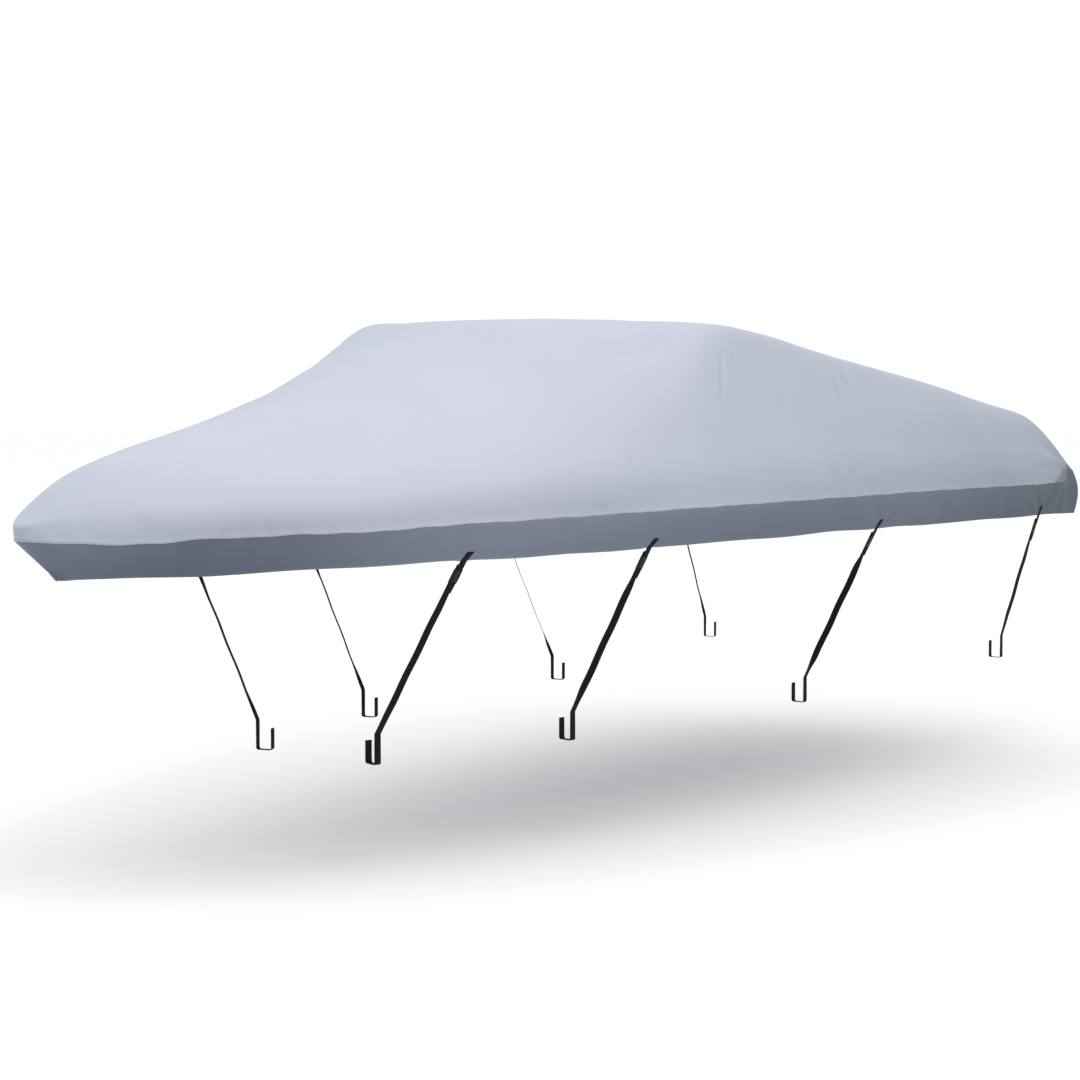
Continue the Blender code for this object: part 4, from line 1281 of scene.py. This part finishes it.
def buckle_parts():
    """A buckle at the origin: x across, y down the strap, z out of it.

    The frame is a squared ring of its outer size. The body is a crowned block,
    its half thickness falling as (1 - |t| ** 5) ** 0.35 to both ends, with grip
    ribs across it. A sprung arm shows in a gap on either side.
    """
    turn = 2 * pi * np.arange(FRAME_POINTS) / FRAME_POINTS
    size = (np.abs(np.cos(turn)) ** FRAME_POWER
            + np.abs(np.sin(turn)) ** FRAME_POWER) ** (-1 / FRAME_POWER)
    half_x = (BUCKLE_WIDTH - BUCKLE_BAR) / 2
    half_y = (BUCKLE_LENGTH - BUCKLE_BAR) / 2
    ring = np.stack([np.cos(turn) * size * half_x, np.sin(turn) * size * half_y,
                     np.zeros(FRAME_POINTS)], 1)
    tangent = np.roll(ring, -1, axis=0) - np.roll(ring, 1, axis=0)
    side = np.cross(tangent, [0.0, 0.0, 1.0])
    side /= np.linalg.norm(side, axis=1, keepdims=True)
    up = np.tile([0.0, 0.0, 1.0], (FRAME_POINTS, 1))
    bar = np.full(FRAME_POINTS, BUCKLE_BAR / 2)
    parts = [carried(ring, side, up, squared_circle(*BAR_SECTION), bar, bar, True)]

    t = np.linspace(-1.0, 1.0, BODY_ROWS)
    level = np.zeros(BODY_ROWS)
    reach = BUCKLE_LENGTH / 2 - BUCKLE_BAR - BODY_END_GAP
    fade = np.clip(1.0 - np.abs(t) ** 5, 0.02, 1.0) ** 0.35
    ribbed = soft_step((RIB_SPAN - np.abs(t)) / 0.1)
    ribs = RIB_RISE * np.cos(2 * pi * t * reach / RIB_PITCH) * ribbed
    side = np.tile([1.0, 0.0, 0.0], (BODY_ROWS, 1))
    up = np.tile([0.0, 0.0, 1.0], (BODY_ROWS, 1))
    wide = ((BUCKLE_WIDTH / 2 - BODY_SIDE_INSET) * (1.0 - BODY_TAPER + BODY_TAPER * fade)
            * (1.0 - BODY_WAIST * np.cos(pi * t)))
    high = (BUCKLE_BODY / 2 - BODY_FACE_INSET) * fade + ribs
    parts.append(carried(np.stack([level, t * reach, level], 1), side, up,
                         squared_circle(*BODY_SECTION), wide, high, False))
    for way in (-1, 1):
        bow = way * (BUCKLE_WIDTH / 2 - ARM_INSET + ARM_BOW * np.cos(pi * t / 2))
        centres = np.stack([bow, t * reach * ARM_SHARE, level], 1)
        parts.append(carried(centres, side, up, squared_circle(*BAR_SECTION),
                             np.full(BODY_ROWS, ARM_HALF[0]), ARM_HALF[1] * fade, False))
    for place in (CROSS_BAR_INSET - reach, reach - CROSS_BAR_INSET):
        parts.append(across_bar(place, BUCKLE_WIDTH / 2 - BUCKLE_BAR, CROSS_BAR))
    return join_parts(parts)


def make_buckles():
    """Every buckle, set at its middle and turned to its own strap."""
    points, faces = buckle_parts()
    made = []
    for side_name, side in SIDES:
        for index, row in enumerate(STRAPS, 1):
            name = f"{side_name}_{index}"
            _, _, middle, across, down = strap_corners(*row, side)
            axes = np.array([across, down, across.cross(down)])
            piece = link(f"buckle_moulding_{name}",
                         build_mesh("buckle_moulding", points @ axes + np.array(middle), faces))
            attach(piece, "root")
            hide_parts(f"buckle_{name}")
            made.append(piece)
    return made


BUCKLES = make_buckles()


# ------------------------------------------------------------------- materials
def node(tree, kind, inputs=None, **settings):
    """A new node with its settings, its sockets' values and its links."""
    made = tree.nodes.new(kind)
    for key, value in settings.items():
        setattr(made, key, value)
    for key, value in (inputs or {}).items():
        if isinstance(value, bpy.types.NodeSocket):
            tree.links.new(value, made.inputs[key])
        else:
            made.inputs[key].default_value = value
    return made


def new_material(name):
    """A material with only its output, and its tree."""
    made = bpy.data.materials.new(name)
    made.use_nodes = True
    made.node_tree.nodes.clear()
    return made, made.node_tree


def finish(tree, shader):
    """Joins a shader to the material's output."""
    node(tree, "ShaderNodeOutputMaterial", {"Surface": shader.outputs["BSDF"]})


def maths(tree, operation, *values):
    """The result of one sum on numbers or sockets."""
    return node(tree, "ShaderNodeMath", dict(enumerate(values)),
                operation=operation).outputs["Value"]


def noise(tree, place, size_mm, detail=2.0):
    """Cloudy noise of about the given size, from 0 to 1."""
    return node(tree, "ShaderNodeTexNoise", {"Vector": place, "Scale": 1000.0 / size_mm,
                                             "Detail": detail}).outputs["Fac"]


def mix_colours(tree, factor, first, second):
    """A colour between two others, by the mix node's colour sockets, numbered 6 and 7."""
    made = node(tree, "ShaderNodeMix", {0: factor, 6: first, 7: second}, data_type="RGBA")
    return made.outputs[2]


YARN_MM = 1.4                 # drawn 2.5 times as coarse as the real 0.55 mm yarn, to show
WEBBING_RIB = 0.0016          # from one rib of the webbing to the next
WEBBING_SLANT = 0.0042        # width across which its ribs slant before they turn back


def woven_polyester(name, pale, deep, worn, painted_shade, coating, roughness, sheen):
    """Solution-dyed polyester, plain woven and coated on its back.

    The close weave gives a matte face with a faint sheen at grazing angles, a
    cloudy tone where the dye and the coating vary, and paler worn edges. The
    shade attribute mixes in a darker tone, which is painted shade.
    """
    made, tree = new_material(name)
    place = node(tree, "ShaderNodeTexCoord").outputs["Object"]
    cloth = node(tree, "ShaderNodeUVMap", uv_map="cloth").outputs["UV"]
    part = node(tree, "ShaderNodeSeparateXYZ", {"Vector": cloth}).outputs
    waves = [maths(tree, "SINE", maths(tree, "MULTIPLY", part[axis], 2 * pi * 1000 / YARN_MM))
             for axis in ("X", "Y")]
    weave = maths(tree, "MULTIPLY_ADD", maths(tree, "MULTIPLY", *waves), 0.5, 0.5)
    stretched = node(tree, "ShaderNodeMapping", {"Vector": cloth, "Scale": (1.0, 0.12, 1.0)})
    slub = noise(tree, stretched.outputs["Vector"], 5.0)
    cloudy = noise(tree, place, 320.0, 4.0)
    tone = mix_colours(tree, cloudy, colour(pale), colour(deep))
    tone = mix_colours(tree, maths(tree, "MULTIPLY", slub, 0.10), tone, colour(deep))
    tone = mix_colours(tree, maths(tree, "MULTIPLY", weave, 0.05), tone, colour(worn))
    edge = node(tree, "ShaderNodeAttribute", attribute_name="edge").outputs["Fac"]
    tone = mix_colours(tree, maths(tree, "MULTIPLY", edge, 0.55), tone, colour(worn))
    # painted shade: the shade attribute mixes in the darker tone given for it
    shade = node(tree, "ShaderNodeAttribute", attribute_name="shade").outputs["Fac"]
    tone = mix_colours(tree, shade, tone, colour(painted_shade))
    inside = node(tree, "ShaderNodeAttribute", attribute_name="inside").outputs["Fac"]
    tone = mix_colours(tree, maths(tree, "MULTIPLY", inside, 0.8), tone, colour(coating))
    drawn = noise(tree, place, 60.0, 3.0)
    soft = node(tree, "ShaderNodeBump", {"Height": drawn, "Strength": 0.35, "Distance": 0.004})
    fine = node(tree, "ShaderNodeBump", {"Height": weave, "Strength": 0.25, "Distance": 0.0003,
                                         "Normal": soft.outputs["Normal"]})
    rough = maths(tree, "MULTIPLY_ADD", cloudy, 0.10, roughness - 0.05)
    finish(tree, node(tree, "ShaderNodeBsdfPrincipled", {
        "Base Color": tone, "Roughness": rough, "Specular IOR Level": 0.30, "IOR": 1.5,
        "Sheen Weight": sheen, "Sheen Roughness": 0.5, "Normal": fine.outputs["Normal"]}))
    return made


def woven_webbing():
    """Polyester webbing, 25 mm: a herringbone of 1.6 mm ribs, dull and almost black."""
    made, tree = new_material("woven_polyester_webbing")
    place = node(tree, "ShaderNodeTexCoord").outputs["Object"]
    band = node(tree, "ShaderNodeUVMap", uv_map="cloth").outputs["UV"]
    part = node(tree, "ShaderNodeSeparateXYZ", {"Vector": band}).outputs
    slant = maths(tree, "PINGPONG", maths(tree, "ADD", part["X"], 0.1), WEBBING_SLANT)
    along_ribs = maths(tree, "ADD", part["Y"], slant)
    ribs = maths(tree, "SINE", maths(tree, "MULTIPLY", along_ribs, 2 * pi / WEBBING_RIB))
    ribs = maths(tree, "MULTIPLY_ADD", ribs, 0.5, 0.5)
    dust = noise(tree, place, 45.0, 4.0)
    tone = mix_colours(tree, ribs, colour("08090a"), colour("101113"))
    tone = mix_colours(tree, maths(tree, "MULTIPLY", dust, 0.30), tone, colour("1c1d20"))
    bump = node(tree, "ShaderNodeBump", {"Height": ribs, "Strength": 0.6, "Distance": 0.0004})
    finish(tree, node(tree, "ShaderNodeBsdfPrincipled", {
        "Base Color": tone, "Roughness": 0.85, "Specular IOR Level": 0.12, "IOR": 1.5,
        "Sheen Weight": 0.03, "Sheen Roughness": 0.5, "Normal": bump.outputs["Normal"]}))
    return made


def moulded_acetal():
    """Acetal, moulded black: a satin skin with the mould's fine spark-eroded grain."""
    made, tree = new_material("moulded_acetal")
    place = node(tree, "ShaderNodeTexCoord").outputs["Object"]
    grain = noise(tree, place, 0.8, 2.0)
    scuff = noise(tree, place, 9.0, 3.0)
    tone = mix_colours(tree, maths(tree, "MULTIPLY", scuff, 0.5), colour("0b0c0d"),
                       colour("18191b"))
    bump = node(tree, "ShaderNodeBump", {"Height": grain, "Strength": 0.25, "Distance": 0.0001})
    rough = maths(tree, "MULTIPLY_ADD", scuff, 0.20, 0.30)
    finish(tree, node(tree, "ShaderNodeBsdfPrincipled", {
        "Base Color": tone, "Roughness": rough, "Specular IOR Level": 0.25, "IOR": 1.48,
        "Normal": bump.outputs["Normal"]}))
    return made


def spun_thread(name, tone_hex, light_hex):
    """Bonded polyester thread: a faintly glossy twist, a shade off its cloth."""
    made, tree = new_material(name)
    place = node(tree, "ShaderNodeTexCoord").outputs["Object"]
    twist = noise(tree, place, 1.5, 1.0)
    tone = mix_colours(tree, twist, colour(tone_hex), colour(light_hex))
    finish(tree, node(tree, "ShaderNodeBsdfPrincipled", {
        "Base Color": tone, "Roughness": 0.5, "IOR": 1.5, "Specular IOR Level": 0.4}))
    return made


# The fourth colour of each cloth is the darker tone of its painted shade.
TOP_FINISH = woven_polyester("woven_polyester_pale", "979dab", "9298a6", "a1a8b5", "4e565f",
                             "9ca2ac", 0.62, 0.10)
# The skirt's slate tone, darker than the top, is painted shade for the cloth under the widest line.
SKIRT_FINISH = woven_polyester("woven_polyester_slate", "6a7484", "667080", "8c94a1", "3e4756",
                               "7d828b", 0.66, 0.08)
WEBBING_FINISH = woven_webbing()
ACETAL_FINISH = moulded_acetal()
TOP_THREAD = spun_thread("bonded_polyester_thread_pale", "b4b8c6", "c9ccd8")
# The hem thread's slate tone follows the skirt's painted shade.
SKIRT_THREAD = spun_thread("bonded_polyester_thread_slate", "6d7480", "868d99")
TAB_THREAD_FINISH = spun_thread("bonded_polyester_thread_black", "1c1d20", "303237")
for pieces, made_of in (([TOP_CLOTH], TOP_FINISH), ([SKIRT_CLOTH], SKIRT_FINISH),
                        (STRAP_BANDS + TAB_BANDS, WEBBING_FINISH), (BUCKLES, ACETAL_FINISH),
                        ([SEAM_THREAD], TOP_THREAD), ([HEM_THREAD], SKIRT_THREAD),
                        ([TAB_THREAD], TAB_THREAD_FINISH)):
    for piece in pieces:
        piece.data.materials.clear()
        piece.data.materials.append(made_of)


# ------------------------------------------------------------- floor and light
FLOOR_RADIUS = 70.0
FLOOR_MIDDLE = (0.7, 0.0)
FLOOR_RINGS = 12
FLOOR_POINTS = 96             # points round each ring
FLOOR_FIRST = 0.05            # root of the first ring's share of the radius
HORIZON_GLOW = 1.03           # the pale room's radiance at the horizon and overhead
ZENITH_GLOW = 1.53
HORIZON_TINT = (0.96, 1.0, 1.0, 1.0)
ZENITH_TINT = (1.0, 1.0, 1.0, 1.0)
LAMP_AT = (-1.9, -2.3, 2.1)   # the soft lamp's place, and what it is turned to
LAMP_TARGET = (-0.6, -0.6, -0.3)
LAMP_SIZE = 2.0
LAMP_WATTS = 90.0
LAMP_TINT = (1.0, 0.845, 0.85)


def make_floor():
    """A wide flat floor: rings whose radius grows as the square of their number."""
    turn = 2 * pi * np.arange(FLOOR_POINTS) / FLOOR_POINTS
    radius = FLOOR_RADIUS * np.linspace(FLOOR_FIRST, 1.0, FLOOR_RINGS) ** 2
    grid = np.stack([FLOOR_MIDDLE[0] + radius[:, None] * np.cos(turn),
                     FLOOR_MIDDLE[1] + radius[:, None] * np.sin(turn),
                     np.full((FLOOR_RINGS, FLOOR_POINTS), GROUND)], -1)
    faces = np.concatenate([grid_quads(FLOOR_RINGS, FLOOR_POINTS, True),
                            cap_quads(FLOOR_POINTS)])
    made = link("floor", build_mesh("floor", grid.reshape(-1, 3), faces))
    paint, tree = new_material("matte_floor_paint")
    place = node(tree, "ShaderNodeTexCoord").outputs["Object"]
    tone = mix_colours(tree, noise(tree, place, 2500.0, 2.0), colour("e4e4e4"), colour("e7e7e7"))
    finish(tree, node(tree, "ShaderNodeBsdfPrincipled", {"Base Color": tone, "Roughness": 0.9,
                                                         "Specular IOR Level": 0.0}))
    made.data.materials.append(paint)
    return made


def area_light(name, place, target, size, watts, tint):
    """A soft round lamp at a place, turned to a target."""
    data = bpy.data.lights.new(name, "AREA")
    data.shape = "DISK"
    data.size = size
    data.energy = watts
    data.color = tint
    made = bpy.data.objects.new(name, data)
    bpy.context.scene.collection.objects.link(made)
    made.location = place
    made.rotation_euler = (Vector(target) - Vector(place)).to_track_quat("-Z", "Y").to_euler()
    return made


def make_light():
    """A pale room that is brighter overhead, and a soft lamp above the bow."""
    world = bpy.data.worlds.new("pale_room")
    world.use_nodes = True
    tree = world.node_tree
    direction = node(tree, "ShaderNodeTexCoord").outputs["Generated"]
    height = node(tree, "ShaderNodeSeparateXYZ", {"Vector": direction}).outputs["Z"]
    glow = node(tree, "ShaderNodeMapRange", {"Value": height, "To Min": HORIZON_GLOW,
                                             "To Max": ZENITH_GLOW}).outputs["Result"]
    back = tree.nodes["Background"]
    tree.links.new(mix_colours(tree, height, HORIZON_TINT, ZENITH_TINT), back.inputs["Color"])
    tree.links.new(glow, back.inputs["Strength"])
    bpy.context.scene.world = world
    area_light("key", LAMP_AT, LAMP_TARGET, LAMP_SIZE, LAMP_WATTS, LAMP_TINT)
    bpy.context.scene.view_settings.view_transform = "Standard"


make_floor()
make_light()
